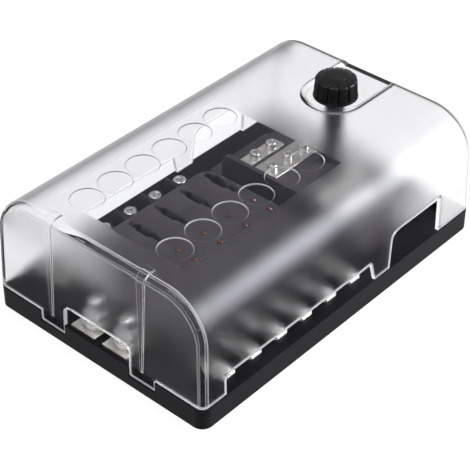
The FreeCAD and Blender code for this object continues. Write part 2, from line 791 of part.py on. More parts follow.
def make_cover():
    """Thin moulded shell with cable openings, tongues, ribs, label recesses and the knob's pocket."""
    outer = cover_form(0)
    ribs = []
    grown = cover_form(rib_height)
    top_half = rib_top_width / 2
    low_half = rib_bottom_width / 2
    for y in (tongue_mid_y, -tongue_mid_y):
        strip = prism([(y - low_half, rib_bottom, 0), (y + low_half, rib_bottom, 0),
                       (y + top_half, cover_top + 2, 0), (y - top_half, cover_top + 2, 0)],
                      "x", -base_length / 2, -cover_half_x + rib_wrap)
        ribs.append(grown.common(strip))
    shell = union([outer] + ribs)
    hollow = cover_form(-wall).cut(knob_pocket(-wall, cover_top + 2))
    shell = shell.cut([hollow, knob_pocket(0, cover_top + 2)])
    cuts = []
    for x in way_xs:
        cuts += both(rod(x, way_y, cover_top - label_depth, cover_top + 1, label_diameter))
    side = (base_width / 2 - opening_cut, base_width / 2 + opening_cut)
    low = opening_shape(low_opening_x, low_opening_lean, low_opening_top, low_opening_radius, False)
    high = opening_shape(high_opening_x, high_opening_lean, high_opening_top, high_opening_radius, True)
    for corners in (low, high):
        cuts += both(prism(corners, "y", side[0], side[1]))
    half = end_opening_half
    end_corners = [(-half, tongue_bottom - 1, 0), (half, tongue_bottom - 1, 0),
                   (half, end_opening_top, end_opening_radius), (-half, end_opening_top, end_opening_radius)]
    cuts.append(prism(end_corners, "x", near_end - opening_cut, near_end + opening_cut))
    cuts.append(rod(knob_x, 0, pocket_floor - wall - 1, pocket_floor + 1, knob_screw + 2 * running_fit))
    shell = shell.cut(cuts)
    tongues = []
    x0 = -cover_half_x
    for s in (1, -1):
        y = sorted((s * tongue_y[0], s * tongue_y[1]))
        tongues.append(prism([(y[0], cover_bottom + 0.5, 0), (y[0], tongue_bottom, tongue_corner),
                              (y[1], tongue_bottom, tongue_corner), (y[1], cover_bottom + 0.5, 0)],
                             "x", x0, x0 + wall))
        y = sorted((s * nib_y[0], s * nib_y[1]))
        tip = x0 + wall + nib_reach - 0.1
        low = tongue_bottom + 0.5
        tongues.append(prism([(x0 + wall - 0.5, low, 0), (tip, low + nib_height, 0),
                              (x0 + wall - 0.5, low + nib_height + 0.4, 0)], "y", y[0], y[1]))
    return union([shell] + tongues)


# Knob
def make_knob():
    """Moulded knob: flared skirt, fluted grip and a low crown, closed round its screw's head."""
    low = pocket_floor + joint_gap
    top = low + knob_height
    grip = knob_diameter / 2
    tip = grip - knob_taper
    profile = [(0, low), (knob_skirt / 2, low), (knob_skirt / 2, low + knob_skirt_height * 0.5),
               (grip, low + knob_skirt_height), (tip, top - knob_shoulder),
               (tip - 0.15, top - knob_shoulder * 0.8), (tip - 0.5, top - knob_crown),
               (knob_disc / 2, top), (0, top)]
    body = turned(knob_x, 0, profile)
    flutes = []
    centre = grip + flute_radius - flute_depth
    for i in range(knob_flutes):
        angle = 2 * math.pi * (i + 0.5) / knob_flutes
        flutes.append(rod(knob_x + centre * math.cos(angle), centre * math.sin(angle),
                          low + knob_skirt_height, top + 1, 2 * flute_radius))
    return body.cut(flutes).cut(make_knob_screw())


def make_knob_screw():
    """Steel screw moulded into the knob by its head."""
    head_low = pocket_floor + joint_gap + 2.0
    shank = rod(knob_x, 0, knob_screw_tip, head_low + 0.5, knob_screw)
    tip = [e for e in shank.Edges if max(v.Z for v in e.Vertexes) < knob_screw_tip + 0.01]
    head = rod(knob_x, 0, head_low, head_low + knob_screw_head_height, knob_screw_head)
    return shank.makeChamfer(0.7, tip).fuse(head)


def make_retainer():
    """Push-on washer that keeps the knob's screw in the cover."""
    ring = rod(knob_x, 0, retainer_top - retainer_thickness, retainer_top, retainer_diameter)
    return ring.cut(rod(knob_x, 0, post_top, retainer_top + 1, knob_screw))


def make_post():
    """Tapered pillar from the deck to the cover, bored for the insert and for its own screw."""
    post = turned(knob_x, 0, [(0, deck_height), (post_foot_diameter / 2, deck_height),
                              (post_head_diameter / 2, post_top), (0, post_top)])
    bore = knob_screw + 2 * clearance
    return post.cut([rod(knob_x, 0, post_top - insert_length, post_top + 1, insert_diameter),
                     rod(knob_x, 0, knob_screw_tip - 4, post_top, bore),
                     rod(knob_x, 0, deck_height - 1, deck_height + tapping_reach + 1,
                         tapping_shank + thread_play)])


def make_insert():
    """Threaded bush in the top of the post."""
    bush = rod(knob_x, 0, post_top - insert_length, post_top, insert_diameter)
    return bush.cut(rod(knob_x, 0, post_top - insert_length - 1, post_top + 1, knob_screw + 2 * thread_play))


def make_post_screw():
    """Screw from below the deck into the post."""
    return pan_screw(knob_x, 0, deck_underside, tapping_head, tapping_head_height, tapping_shank,
                     deck_height + tapping_reach, upright=False)


save("base", make_base())
save("bottom_plate", make_bottom_plate())
save("fuse_block", make_fuse_block())
save("ground_block", make_ground_block())
save("cover", make_cover())
save("cover_knob", make_knob())
save("knob_screw", make_knob_screw())
save("knob_retainer", make_retainer())
save("cover_post", make_post())
save("post_insert", make_insert())
save("post_screw", make_post_screw())

for number, x in enumerate(way_xs, 1):
    terminal = make_output_terminal(x)
    save("rear_terminal_%d" % number, terminal)
    save("front_terminal_%d" % number, front(terminal))
supply_bar = make_supply_bar()
save("rear_supply_bar", supply_bar)
save("front_supply_bar", front(supply_bar))
for name, y, length, screw_xs in (("outer_ground_bar", outer_bar_y, outer_bar_length, outer_ground_xs),
                                  ("inner_ground_bar", inner_bar_y, inner_bar_length, inner_ground_xs)):
    bar = make_ground_bar(y, length, screw_xs)
    save("rear_" + name, bar)
    save("front_" + name, front(bar))

screws, washers, nuts = make_terminal_fasteners()
save("terminal_screws", screws, True)
save("terminal_washers", washers, True)
save("terminal_nuts", nuts, True)
studs, washers, nuts = make_input_fasteners()
save("input_studs", studs, True)
save("input_washers", washers, True)
save("input_nuts", nuts, True)
screws, nuts = make_ground_fasteners()
save("ground_screws", screws, True)
save("ground_nuts", nuts, True)
save("block_screws", make_tapping_screws(), True)
save("plate_screws", [flat_screw(x, y, 0) for x, y in plate_screw_spots], True)
save("lamp_board", make_board())
save("fault_lamps", make_lamps(), True)
save("lamp_resistors", make_resistors(), True)
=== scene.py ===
import math

import bmesh
import bpy
import numpy as np
from bpy.props import FloatProperty, FloatVectorProperty, IntProperty
from mathutils import Matrix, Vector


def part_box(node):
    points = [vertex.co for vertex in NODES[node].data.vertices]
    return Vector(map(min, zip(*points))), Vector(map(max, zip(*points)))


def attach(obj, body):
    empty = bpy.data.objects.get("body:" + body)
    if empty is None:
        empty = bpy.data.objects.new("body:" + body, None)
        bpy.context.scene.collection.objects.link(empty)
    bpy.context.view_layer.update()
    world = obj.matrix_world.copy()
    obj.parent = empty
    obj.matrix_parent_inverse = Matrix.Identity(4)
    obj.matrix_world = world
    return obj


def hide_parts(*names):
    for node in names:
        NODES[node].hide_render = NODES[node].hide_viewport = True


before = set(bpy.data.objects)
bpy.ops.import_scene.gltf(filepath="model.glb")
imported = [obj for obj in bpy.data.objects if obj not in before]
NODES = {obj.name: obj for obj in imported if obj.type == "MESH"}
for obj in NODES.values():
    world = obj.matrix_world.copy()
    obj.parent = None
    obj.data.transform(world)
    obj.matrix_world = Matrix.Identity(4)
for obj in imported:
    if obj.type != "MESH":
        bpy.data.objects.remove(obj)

bl_info = {
    "name": "Blade fuse holder",
    "version": (1, 0, 0),
    "blender": (4, 5, 0),
    "location": "View3D > Sidebar > Fuse holder",
    "description": "Dresses the packed fuse holder: frosted cover, mouldings, screws, lamps, knob and stage",
    "category": "Object",
}

MM = 0.001

# Places shared by several steps, in millimetres from the middle of the base and from the table

PITCH = 17.5
FIRST_WAY = -73.7
WAYS = 6
TERMINAL_Y = 54.0
GROUND_SCREWS = ((42.5, 28.8), (54.5, 28.8), (40.5, 16.0), (52.5, 16.0), (64.5, 16.0))

# Cable openings in the cover: their sides lean from OPENING_FOOT upwards

OPENING_FOOT = 10.4
WAY_LEFT = -82.6
WAY_RIGHT = 21.2
WAY_TOP = 21.9
WAY_CORNER = 3.7
WAY_LEAN = 2.8 / 11.5
GROUND_LEFT = 32.3
GROUND_RIGHT = 71.4
GROUND_TOP = 30.6
GROUND_CORNER = 4.6
GROUND_LEAN = 1.9 / 20.2
END_HALF = 20.3
END_TOP = 21.7
END_CORNER = 3.0

# Light bends in the cover's plastic by this index

COVER_IOR = 1.3


# Settings

def length(label, text, value):
    """A length setting, given in millimetres."""
    return FloatProperty(name=label, description=text, default=value * MM, min=0.0, precision=5,
                         unit="LENGTH")


def tint(label, text, value):
    """A colour setting, in linear red, green and blue."""
    return FloatVectorProperty(name=label, description=text, default=value, size=3, min=0.0, max=1.0,
                               subtype="COLOR")


def share(label, text, value):
    """A setting from nothing to all."""
    return FloatProperty(name=label, description=text, default=value, min=0.0, max=1.0, subtype="FACTOR")


class CoverSettings(bpy.types.PropertyGroup):
    """Shape and finish of the moulded cover."""
    wall: length("Wall", "Thickness of the moulded wall", 2.1)
    long_radius: length("Long edge radius", "Outer radius of the two long top edges", 22.6)
    end_radius: length("End edge radius", "Outer radius of the two short top edges", 3.8)
    label_diameter: length("Label spot", "Diameter of the round recess over each fuse", 16.1)
    label_depth: length("Label depth", "Depth of the round recesses", 0.4)
    rib_height: length("Rib height", "How far the two end ribs stand out", 0.7)
    edge_round: length("Edge round", "Rounding of the cut edges", 0.45)
    tint: tint("Cover tint", "Colour of the plastic", (0.966, 0.966, 0.972))
    # Colour of the painted light that whitens the frosted skin in placed patches and lines
    scatter: tint("Scatter", "Colour of the light that the skin scatters", (0.86, 0.86, 0.865))
    frost: share("Frost", "Roughness of the frosted skin", 0.34)
    haze: share("Haze", "Share of milky light in the frosted skin", 0.002)
    gloss: share("Gloss", "Share of light that the skin mirrors", 0.026)
    # Strength of the painted highlight: the polished edges glow though they are no lamp
    glow: share("Edge glow", "Light that the polished edges give off", 0.45)
    window: share("Window", "Roughness of the clear window", 0.04)
    border: length("Clear border", "Width of the clear border round the openings", 1.7)
    # Painted light: shares of a whiter diffuse skin placed on these parts of the cover and on lines beside
    # the clear near edge
    front_light: share("Front light", "Share of light scattered by the far third of the front wall", 0.36)
    rear_light: share("Rear light", "Share of light scattered by the rear long edge", 0.6)
    near_light: share("Near light", "Share of light scattered by the rear half of the near end wall", 0.4)
    far_light: share("Far light", "Share of light scattered by the far end's rounded edge", 0.4)
    line_light: share("Line light", "Share of light scattered by the lines beside the clear near edge", 0.4)


class MouldingSettings(bpy.types.PropertyGroup):
    """Colours and edges of the moulded parts."""
    base_tint: tint("Base", "Colour of the base", (0.007, 0.0066, 0.0085))
    block_tint: tint("Blocks", "Colour of the fuse and ground blocks", (0.030, 0.027, 0.034))
    sheet_tint: tint("Bottom plate", "Colour of the bottom plate", (0.03, 0.03, 0.03))
    board_tint: tint("Circuit board", "Colour of the lacquered board", (0.02, 0.10, 0.045))
    base_edge: length("Base edge", "Rounding of the base's edges", 0.25)
    block_edge: length("Block edge", "Rounding of the blocks' edges", 0.2)


class MetalSettings(bpy.types.PropertyGroup):
    """Colours of the metal parts and their small edges."""
    steel: tint("Plated steel", "Colour of screws, nuts and washers", (0.82, 0.82, 0.83))
    tinned: tint("Tinned sheet", "Colour of terminals and bars", (0.80, 0.78, 0.73))
    brass: tint("Brass", "Colour of the threaded bush", (0.78, 0.58, 0.26))
    lamp: tint("Lamp", "Colour of the fault lamps", (0.11, 0.014, 0.008))
    edge: length("Sheet edge", "Rounding of the sheet's cut edges", 0.12)
    shank: length("Shank", "Diameter of all screws' shanks", 3.9)
    terminal_head: length("Terminal head", "Diameter of a terminal screw's head", 7.2)
    terminal_height: length("Terminal head height", "Height of a terminal screw's head", 2.5)
    terminal_seat: length("Terminal seat", "Height of the washers that carry the terminal screws", 13.1)
    ground_head: length("Ground head", "Diameter of a ground screw's head", 5.8)
    ground_height: length("Ground head height", "Height of a ground screw's head", 3.2)
    ground_seat: length("Ground seat", "Height of the ground bars' top", 26.0)
    recess: length("Screw recess", "Depth of the cross recess", 1.3)
    spokes: IntProperty(name="Spokes", description="Steps round a screw head's quadrant", default=12, min=4)


class KnobSettings(bpy.types.PropertyGroup):
    """Shape and finish of the cover knob."""
    centre: length("Centre", "Distance of the axis from the middle of the base", 68.0)
    diameter: length("Grip", "Diameter over the lobes at their foot", 21.8)
    taper: length("Taper", "How much narrower the grip is at its top, in radius", 0.6)
    disc: length("Disc", "Diameter of the flat top", 10.4)
    skirt: length("Skirt", "Diameter of the flared foot", 22.2)
    height: length("Height", "Height of the knob", 11.2)
    crown: length("Crown", "Rise from the lobes to the flat top", 1.2)
    flute_depth: length("Flute depth", "Depth of the hollows", 1.5)
    flutes: IntProperty(name="Flutes", description="Hollows round the grip", default=12, min=3)
    tint: tint("Knob", "Colour of the knob", (0.006, 0.006, 0.0065))


class StageSettings(bpy.types.PropertyGroup):
    """Camera, floor and lights."""
    azimuth: FloatProperty(name="Azimuth", description="Camera direction round the object",
                           default=math.radians(-48.664), subtype="ANGLE")
    elevation: FloatProperty(name="Elevation", description="Camera height over the floor as an angle",
                             default=math.radians(37.871), subtype="ANGLE")
    roll: FloatProperty(name="Roll", description="Turn of the camera about its view",
                        default=math.radians(0.403), subtype="ANGLE")
    target: FloatVectorProperty(name="Target", description="Point that the camera looks at", size=3,
                                default=(-0.008567, -0.002950, 0.023026), subtype="XYZ", unit="LENGTH")
    distance: length("Distance", "Distance from the camera to the target", 730.61)
    lens: FloatProperty(name="Lens", description="Focal length in millimetres", default=118.6, min=1.0)
    sky: FloatProperty(name="Sky", description="Strength of the even light from all round", default=0.62,
                       min=0.0)
    mirrored: FloatProperty(name="Mirrored sky", description="Strength of that light in reflections",
                            default=0.38, min=0.0)
    paper: share("Paper", "Grey of the floor", 0.25)
    shine: share("Floor light", "Light that the floor gives off to the camera", 0.80)
    band: FloatProperty(name="Side lamp", description="Power of the soft lamp to the right", default=11.5,
                        min=0.0, unit="POWER")
    key: FloatProperty(name="Key lamp", description="Power of the large lamp overhead", default=5.5, min=0.0,
                       unit="POWER")


# Shader expressions

class Value:
    """A shader socket: arithmetic on it adds Math nodes."""

    def __init__(self, paint, socket):
        self.paint = paint
        self.socket = socket

    def out(self, name):
        """Another output of the same node."""
        return Value(self.paint, self.socket.node.outputs[name])

    def math(self, operation, *others):
        """The result of a Math node on this socket and the others."""
        inputs = dict(enumerate((self,) + others))
        return self.paint.node("ShaderNodeMath", {"operation": operation}, inputs)

    def flipped(self, operation, other):
        """As math, with the other value first."""
        return self.paint.node("ShaderNodeMath", {"operation": operation}, {0: other, 1: self})

    def __add__(self, other):
        return self.math("ADD", other)

    __radd__ = __add__

    def __sub__(self, other):
        return self.math("SUBTRACT", other)

    def __rsub__(self, other):
        return self.flipped("SUBTRACT", other)

    def __mul__(self, other):
        return self.math("MULTIPLY", other)

    __rmul__ = __mul__

    def __truediv__(self, other):
        return self.math("DIVIDE", other)

    def __rtruediv__(self, other):
        return self.flipped("DIVIDE", other)

    def __pow__(self, other):
        return self.math("POWER", other)

    def __rpow__(self, other):
        return self.flipped("POWER", other)

    def __abs__(self):
        return self.math("ABSOLUTE")

    def above(self, edge):
        """1 where this is larger than the edge, else 0."""
        return self.math("GREATER_THAN", edge)

    def below(self, edge):
        """1 where this is smaller than the edge, else 0."""
        return self.math("LESS_THAN", edge)

    def least(self, other):
        """The smaller of two values."""
        return self.math("MINIMUM", other)

    def most(self, other):
        """The larger of two values."""
        return self.math("MAXIMUM", other)

    def ramp(self, low, high):
        """A soft step from 0 to 1 while this goes from low to high."""
        return self.paint.node("ShaderNodeMapRange", {"interpolation_type": "SMOOTHSTEP"},
                               {0: self, 1: low, 2: high})

    def repeat(self, step):
        """Distance from the nearest whole multiple of the step."""
        return self.math("PINGPONG", step / 2)


class Paint:
    """One material or world and the ways to add to its nodes."""

    def __init__(self, owner):
        owner.use_nodes = True
        self.owner = owner
        self.tree = owner.node_tree
        self.tree.nodes.clear()

    def node(self, kind, settings=None, inputs=None, out=0):
        """Add a node: its settings first, then socket values or links; the chosen output comes back."""
        made = self.tree.nodes.new(kind)
        for name, value in (settings or {}).items():
            setattr(made, name, value)
        for name, value in (inputs or {}).items():
            if isinstance(value, Value):
                self.tree.links.new(value.socket, made.inputs[name])
            else:
                made.inputs[name].default_value = value
        return Value(self, made.outputs[out]) if len(made.outputs) else made

    def where(self):
        """Object coordinates, in metres."""
        return self.node("ShaderNodeTexCoord", out="Object")

    def place(self):
        """Object coordinates whole and as x, y and z."""
        where = self.where()
        split = self.node("ShaderNodeSeparateXYZ", inputs={0: where})
        return where, split.out("X"), split.out("Y"), split.out("Z")

    def facing(self):
        """The surface normal as x, y and z."""
        normal = self.node("ShaderNodeNewGeometry", out="Normal")
        split = self.node("ShaderNodeSeparateXYZ", inputs={0: normal})
        return split.out("X"), split.out("Y"), split.out("Z")

    def noise(self, where, size, detail=2.0, rough=0.5, stretch=None):
        """Noise whose grains are about that many millimetres."""
        if stretch:
            where = self.node("ShaderNodeMapping", {}, {"Vector": where, "Scale": stretch})
        return self.node("ShaderNodeTexNoise", {}, {"Vector": where, "Scale": 1.0 / (size * MM),
                                                    "Detail": detail, "Roughness": rough})

    def mix(self, mask, first, second):
        """Colour that goes from the first to the second as the mask goes from 0 to 1."""
        return self.node("ShaderNodeMix", {"data_type": "RGBA"},
                         {0: mask, 6: solid(first), 7: solid(second)}, out=2)

    def bump(self, height, depth, edge=0.0):
        """Normal of a relief whose height 1 stands for that many millimetres, on edges of that radius."""
        inputs = {"Height": height, "Distance": depth * MM, "Strength": 1.0}
        if edge:
            inputs["Normal"] = self.node("ShaderNodeBevel", {"samples": 4}, {"Radius": edge})
        return self.node("ShaderNodeBump", {}, inputs)

    def surface(self, **inputs):
        """Principled shader with the given sockets; underscores stand for spaces."""
        named = {name.replace("_", " "): value for name, value in inputs.items()}
        named = {name.replace("Ior", "IOR"): solid(value) for name, value in named.items()}
        return self.node("ShaderNodeBsdfPrincipled", {}, named)

    def finish(self, shader):
        """Link the shader to the material's output."""
        self.node("ShaderNodeOutputMaterial", {}, {"Surface": shader})
        return self.owner


def solid(value):
    """A colour of three numbers gets its fourth; anything else stays."""
    if isinstance(value, Value) or not hasattr(value, "__len__"):
        return value
    return (*tuple(value)[:3], 1.0)


def new_material(name):
    """An empty material and the painter of its nodes; its glow, if any, isn't used as a lamp."""
    made = bpy.data.materials.new(name)
    made.cycles.emission_sampling = "NONE"
    return Paint(made)


# Materials

def base_material(settings):
    """Black moulded plastic: polished deck, finely grained sides, tone that differs in soft clouds."""
    paint = new_material("black_base")
    where, _, _, z = paint.place()
    _, _, nz = paint.facing()
    deck = nz.ramp(0.7, 0.98) * z.above(9.0 * MM)
    grain = paint.noise(where, 0.35, 3.0, 0.6)
    cloud = paint.noise(where, 22.0, 3.0)
    colour = paint.mix(cloud.ramp(0.35, 0.7), settings.base_tint, [1.5 * c for c in settings.base_tint])
    rough = 0.43 + 0.12 * (cloud - 0.5) + 0.10 * (grain - 0.5)
    rough = rough * (1 - deck) + deck * (0.17 + 0.08 * cloud)
    relief = paint.bump(grain * (1 - 0.85 * deck), 0.03)
    return paint.finish(paint.surface(Base_Color=colour, Roughness=rough, Normal=relief, Ior=1.5,
                                      Specular_Ior_Level=0.06))


def block_material(settings):
    """Dark grey moulded plastic with a fine spark grain and faint flow marks, and painted shade: darker below
    the fuse block's top, in the sockets and between the terminals."""
    paint = new_material("grey_block")
    where, x, _, z = paint.place()
    grain = paint.noise(where, 0.30, 3.0, 0.65)
    flow = paint.noise(where, 9.0, 4.0, 0.55, stretch=(0.35, 1.0, 1.0))
    colour = paint.mix(flow.ramp(0.3, 0.75), settings.block_tint, [1.25 * c for c in settings.block_tint])
    # Painted shade: below the fuse block's top, where x is under 20 mm, the colour falls to a fifth, standing
    # for the shade in the sockets and between the terminals
    painted_shade = x.below(20.0 * MM) * z.ramp(26.4 * MM, 25.2 * MM)
    colour = paint.mix(painted_shade, colour, [0.2 * c for c in settings.block_tint])
    rough = 0.40 + 0.14 * (flow - 0.5) + 0.12 * (grain - 0.5)
    return paint.finish(paint.surface(Base_Color=colour, Roughness=rough, Ior=1.5, Specular_Ior_Level=0.35,
                                      Normal=paint.bump(grain, 0.03, settings.block_edge)))


def sheet_material(settings):
    """Plain insulating sheet with a faint weave."""
    paint = new_material("insulating_sheet")
    where, x, y, _ = paint.place()
    weave = (x.repeat(1.2 * MM) + y.repeat(1.2 * MM)) / (1.2 * MM)
    speck = paint.noise(where, 3.0, 4.0)
    colour = paint.mix(speck.ramp(0.4, 0.7), settings.sheet_tint, [1.5 * c for c in settings.sheet_tint])
    return paint.finish(paint.surface(Base_Color=colour, Roughness=0.5 + 0.2 * (speck - 0.5),
                                      Normal=paint.bump(weave, 0.02), Ior=1.5))


def cover_border(x, y, z, width):
    """1 on a border of that width, in metres, round the cover's cable openings and along its foot."""
    x, y, z, width = x / MM, abs(y) / MM, z / MM, width / MM
    rise = z - OPENING_FOOT
    ways = (z.below(WAY_TOP + width) * x.above(WAY_LEFT - width)
            * x.below(WAY_RIGHT + width - WAY_LEAN * rise))
    ground = (z.below(GROUND_TOP + width) * x.above(GROUND_LEFT - width + GROUND_LEAN * rise)
              * x.below(GROUND_RIGHT + width))
    end = x.below(-90.0) * z.below(END_TOP + width) * y.below(END_HALF + width)
    foot = z.below(CoverShape.foot + 0.6 * width)
    return (y.above(50.0) * ways.most(ground)).most(end).most(foot)


def cover_clear(settings, x, y, z, slope):
    """1 where the skin is clear: the window over the fuses, the near end's rounded edge and the borders."""
    window = abs(x + 28.65 * MM).below(52.65 * MM) * abs(y).below(39.5 * MM) * z.above(60.0 * MM)
    rounded_edge = x.below(-91.0 * MM) * slope.above(0.2) * slope.below(0.965)
    return window.most(rounded_edge).most(cover_border(x, y, z, settings.border))


def cover_painted_light(settings, x, y, z, slope):
    """Painted light: share of a whiter diffuse skin, placed by position where the studio's light strikes the
    cover: the far third of the front wall, the rear long edge, the rear half of the near end wall and the far
    end's rounded edge.
    """
    front = y.below(-50.0 * MM) * x.ramp(25.0 * MM, 75.0 * MM) * z.ramp(58.0 * MM, 44.0 * MM)
    rear = y.ramp(46.0 * MM, 58.0 * MM) * z.ramp(46.0 * MM, 54.0 * MM)
    near = (x.below(-94.0 * MM) * slope.above(0.988) * y.ramp(-22.0 * MM, 14.0 * MM)
            * z.ramp(36.0 * MM, 58.0 * MM))
    far = x.above(91.0 * MM) * slope.ramp(0.05, 0.2) * slope.ramp(0.99, 0.95)
    return (front * settings.front_light + rear * settings.rear_light + near * settings.near_light
            + far * settings.far_light)


def cover_body(paint, settings, glass, haze, relief):
    """The glass with its share of milky light."""
    milk = paint.node("ShaderNodeBsdfTranslucent", {}, {"Color": solid(settings.tint), "Normal": relief})
    return paint.node("ShaderNodeMixShader", {}, {0: haze, 1: glass, 2: milk})


def cover_shadow(paint, body):
    """Shadow rays pass the plastic with a faint loss; all others meet the body."""
    through = paint.node("ShaderNodeBsdfTransparent", {}, {"Color": (0.93, 0.93, 0.94, 1.0)})
    shadow = paint.node("ShaderNodeLightPath", out="Is Shadow Ray")
    return paint.finish(paint.node("ShaderNodeMixShader", {}, {0: shadow, 1: body, 2: through}))


def cover_edge_material(settings):
    """Polished cut edges with a painted highlight: they glow, though they are no lamp, on the openings' rims,
    on the near end and on the far side of the round recesses."""
    paint = new_material("cover_edge")
    where, x, _, z = paint.place()
    nx, ny, _ = paint.facing()
    grain = paint.noise(where, 0.5, 2.0, 0.5)
    relief = paint.bump(grain, 0.002)
    # Painted highlight: the glow is strongest on the low rims and the near end and on the recesses' sides
    # that face the camera, with a faint glow on every cut edge
    rims = z.ramp(42.0 * MM, 34.0 * MM).most(0.75 * x.below(-94.5 * MM))
    rings = z.above(60.0 * MM) * (-0.75 * nx - 0.66 * ny).ramp(0.0, 0.6)
    given = (0.03 + 0.97 * rims).most(0.45 * rings)
    light = paint.mix(given * (0.85 + 0.3 * grain), (0.0, 0.0, 0.0), [settings.glow] * 3)
    glass = paint.surface(Base_Color=settings.tint, Roughness=0.10 + 0.06 * grain, Normal=relief,
                          Ior=COVER_IOR, Transmission_Weight=1.0, Emission_Color=light,
                          Emission_Strength=1.0)
    return cover_shadow(paint, cover_body(paint, settings, glass, 0.30 + 0.10 * grain, relief))


def cover_skin_material(settings):
    """Frosted plastic with clear parts: rough refraction, a faint gloss, milky light at a slant, and painted
    light: a whiter diffuse skin in placed patches and thin lines.
    """
    paint = new_material("cover_frosted")
    where, x, y, z = paint.place()
    nx, _, _ = paint.facing()
    slope = abs(nx)
    grain = paint.noise(where, 0.5, 2.0, 0.5)
    clear = cover_clear(settings, x, y, z, slope)
    frosted = 1 - clear
    frost = settings.frost + 0.06 * (paint.noise(where, 6.0, 3.0) - 0.5)
    rough = clear * settings.window + frosted * frost
    relief = paint.bump(grain * frosted, 0.008)
    slant = paint.node("ShaderNodeLayerWeight", {}, {"Blend": 0.5}, out="Facing")
    haze = frosted * (settings.haze * (0.5 + grain) + 0.7 * slant ** 6.0) + 0.001
    bent = paint.node("ShaderNodeBsdfRefraction", {"distribution": "BECKMANN"},
                      {"Color": solid(settings.tint), "Roughness": rough, "IOR": COVER_IOR,
                       "Normal": relief})
    gloss = paint.node("ShaderNodeBsdfAnisotropic", {"distribution": "BECKMANN"},
                       {"Color": (0.92, 0.92, 1.0, 1.0), "Roughness": rough + 0.08 * frosted,
                        "Normal": relief})
    shine = settings.gloss * (0.3 + 0.7 * z.ramp(26.0 * MM, 46.0 * MM))
    glass = paint.node("ShaderNodeMixShader", {}, {0: shine, 1: bent, 2: gloss})
    body = cover_body(paint, settings, glass, haze, relief)
    # Painted light: thin lines beside the clear near edge and the placed patches where the studio's light
    # strikes the cover get a whiter diffuse skin instead of the glass
    line = slope.above(0.07) * slope.below(0.22) + slope.above(0.95) * slope.below(0.988)
    lines = settings.line_light * (x.below(-91.0 * MM) * line)
    white = lines.most(frosted * cover_painted_light(settings, x, y, z, slope))
    skin = paint.node("ShaderNodeBsdfDiffuse", {}, {"Color": solid(settings.scatter), "Normal": relief})
    return cover_shadow(paint, paint.node("ShaderNodeMixShader", {}, {0: white, 1: body, 2: skin}))


def knob_material(settings):
    """Black moulded plastic, softly grained and a little polished, with faint lighter patches."""
    paint = new_material("knob_black")
    where = paint.where()
    grain = paint.noise(where, 0.28, 3.0, 0.6)
    worn = paint.noise(where, 5.0, 3.0)
    colour = paint.mix(worn.ramp(0.4, 0.8), settings.tint, [1.6 * c for c in settings.tint])
    rough = 0.30 + 0.10 * (worn - 0.5) + 0.08 * (grain - 0.5)
    return paint.finish(paint.surface(Base_Color=colour, Roughness=rough, Normal=paint.bump(grain, 0.02),
                                      Ior=1.5, Specular_Ior_Level=0.33))


def steel_material(settings):
    """Zinc-plated steel: bright, with fine turning marks and small dull patches."""
    paint = new_material("plated_steel")
    where = paint.where()
    fine = paint.noise(where, 0.16, 2.0, 0.5, stretch=(1.0, 1.0, 4.0))
    patch = paint.noise(where, 2.6, 3.0)
    colour = paint.mix(patch.ramp(0.35, 0.75), settings.steel, [0.86 * c for c in settings.steel])
    rough = 0.17 + 0.16 * patch.ramp(0.4, 0.8) + 0.06 * (fine - 0.5)
    return paint.finish(paint.surface(Base_Color=colour, Metallic=1.0, Roughness=rough,
                                      Normal=paint.bump(fine, 0.006)))


def tinned_material(settings):
    """Tin-plated sheet: warm white metal with rolling streaks and faint wiping marks."""
    paint = new_material("tinned_sheet")
    where = paint.where()
    streak = paint.noise(where, 0.30, 3.0, 0.6, stretch=(0.05, 1.0, 1.0))
    wipe = paint.noise(where, 3.5, 4.0, 0.6)
    colour = paint.mix(wipe.ramp(0.35, 0.75), settings.tinned, [0.84 * c for c in settings.tinned])
    rough = 0.30 + 0.16 * (wipe - 0.5) + 0.12 * (streak - 0.5)
    return paint.finish(paint.surface(Base_Color=colour, Metallic=1.0, Roughness=rough,
                                      Normal=paint.bump(streak, 0.010)))


def brass_material(settings):
    """Turned brass with rings round its axis."""
    paint = new_material("turned_brass")
    where, _, _, z = paint.place()
    rings = z.repeat(0.25 * MM) / (0.25 * MM)
    dull = paint.noise(where, 1.5, 3.0)
    colour = paint.mix(dull.ramp(0.4, 0.8), settings.brass, [0.7 * c for c in settings.brass])
    return paint.finish(paint.surface(Base_Color=colour, Metallic=1.0, Roughness=0.24 + 0.2 * dull,
                                      Normal=paint.bump(rings, 0.01)))


def lamp_material(settings):
    """Clear red lamp lens, its colour brighter towards the top."""
    paint = new_material("lamp_lens")
    where, _, _, z = paint.place()
    towards_top = z.ramp(23.0 * MM, 27.6 * MM)
    speck = paint.noise(where, 0.6, 2.0)
    colour = paint.mix(towards_top * (0.75 + 0.25 * speck), [0.5 * c for c in settings.lamp], settings.lamp)
    return paint.finish(paint.surface(Base_Color=colour, Roughness=0.10 + 0.06 * speck, Ior=1.5,
                                      Transmission_Weight=0.35, Coat_Weight=0.5))


def board_material(settings):
    """Lacquered circuit board with copper tracks under the lacquer."""
    paint = new_material("circuit_board")
    where, x, y, _ = paint.place()
    track = (y.repeat(3.8 * MM)).below(0.45 * MM).most((x.repeat(PITCH * MM)).below(0.5 * MM))
    speck = paint.noise(where, 1.2, 3.0)
    flat = paint.mix(track, settings.board_tint, [1.9 * c for c in settings.board_tint])
    colour = paint.mix(speck.ramp(0.5, 0.8) * 0.4, flat, [0.6 * c for c in settings.board_tint])
    return paint.finish(paint.surface(Base_Color=colour, Roughness=0.28 + 0.1 * speck,
                                      Normal=paint.bump(track, 0.03), Ior=1.5))


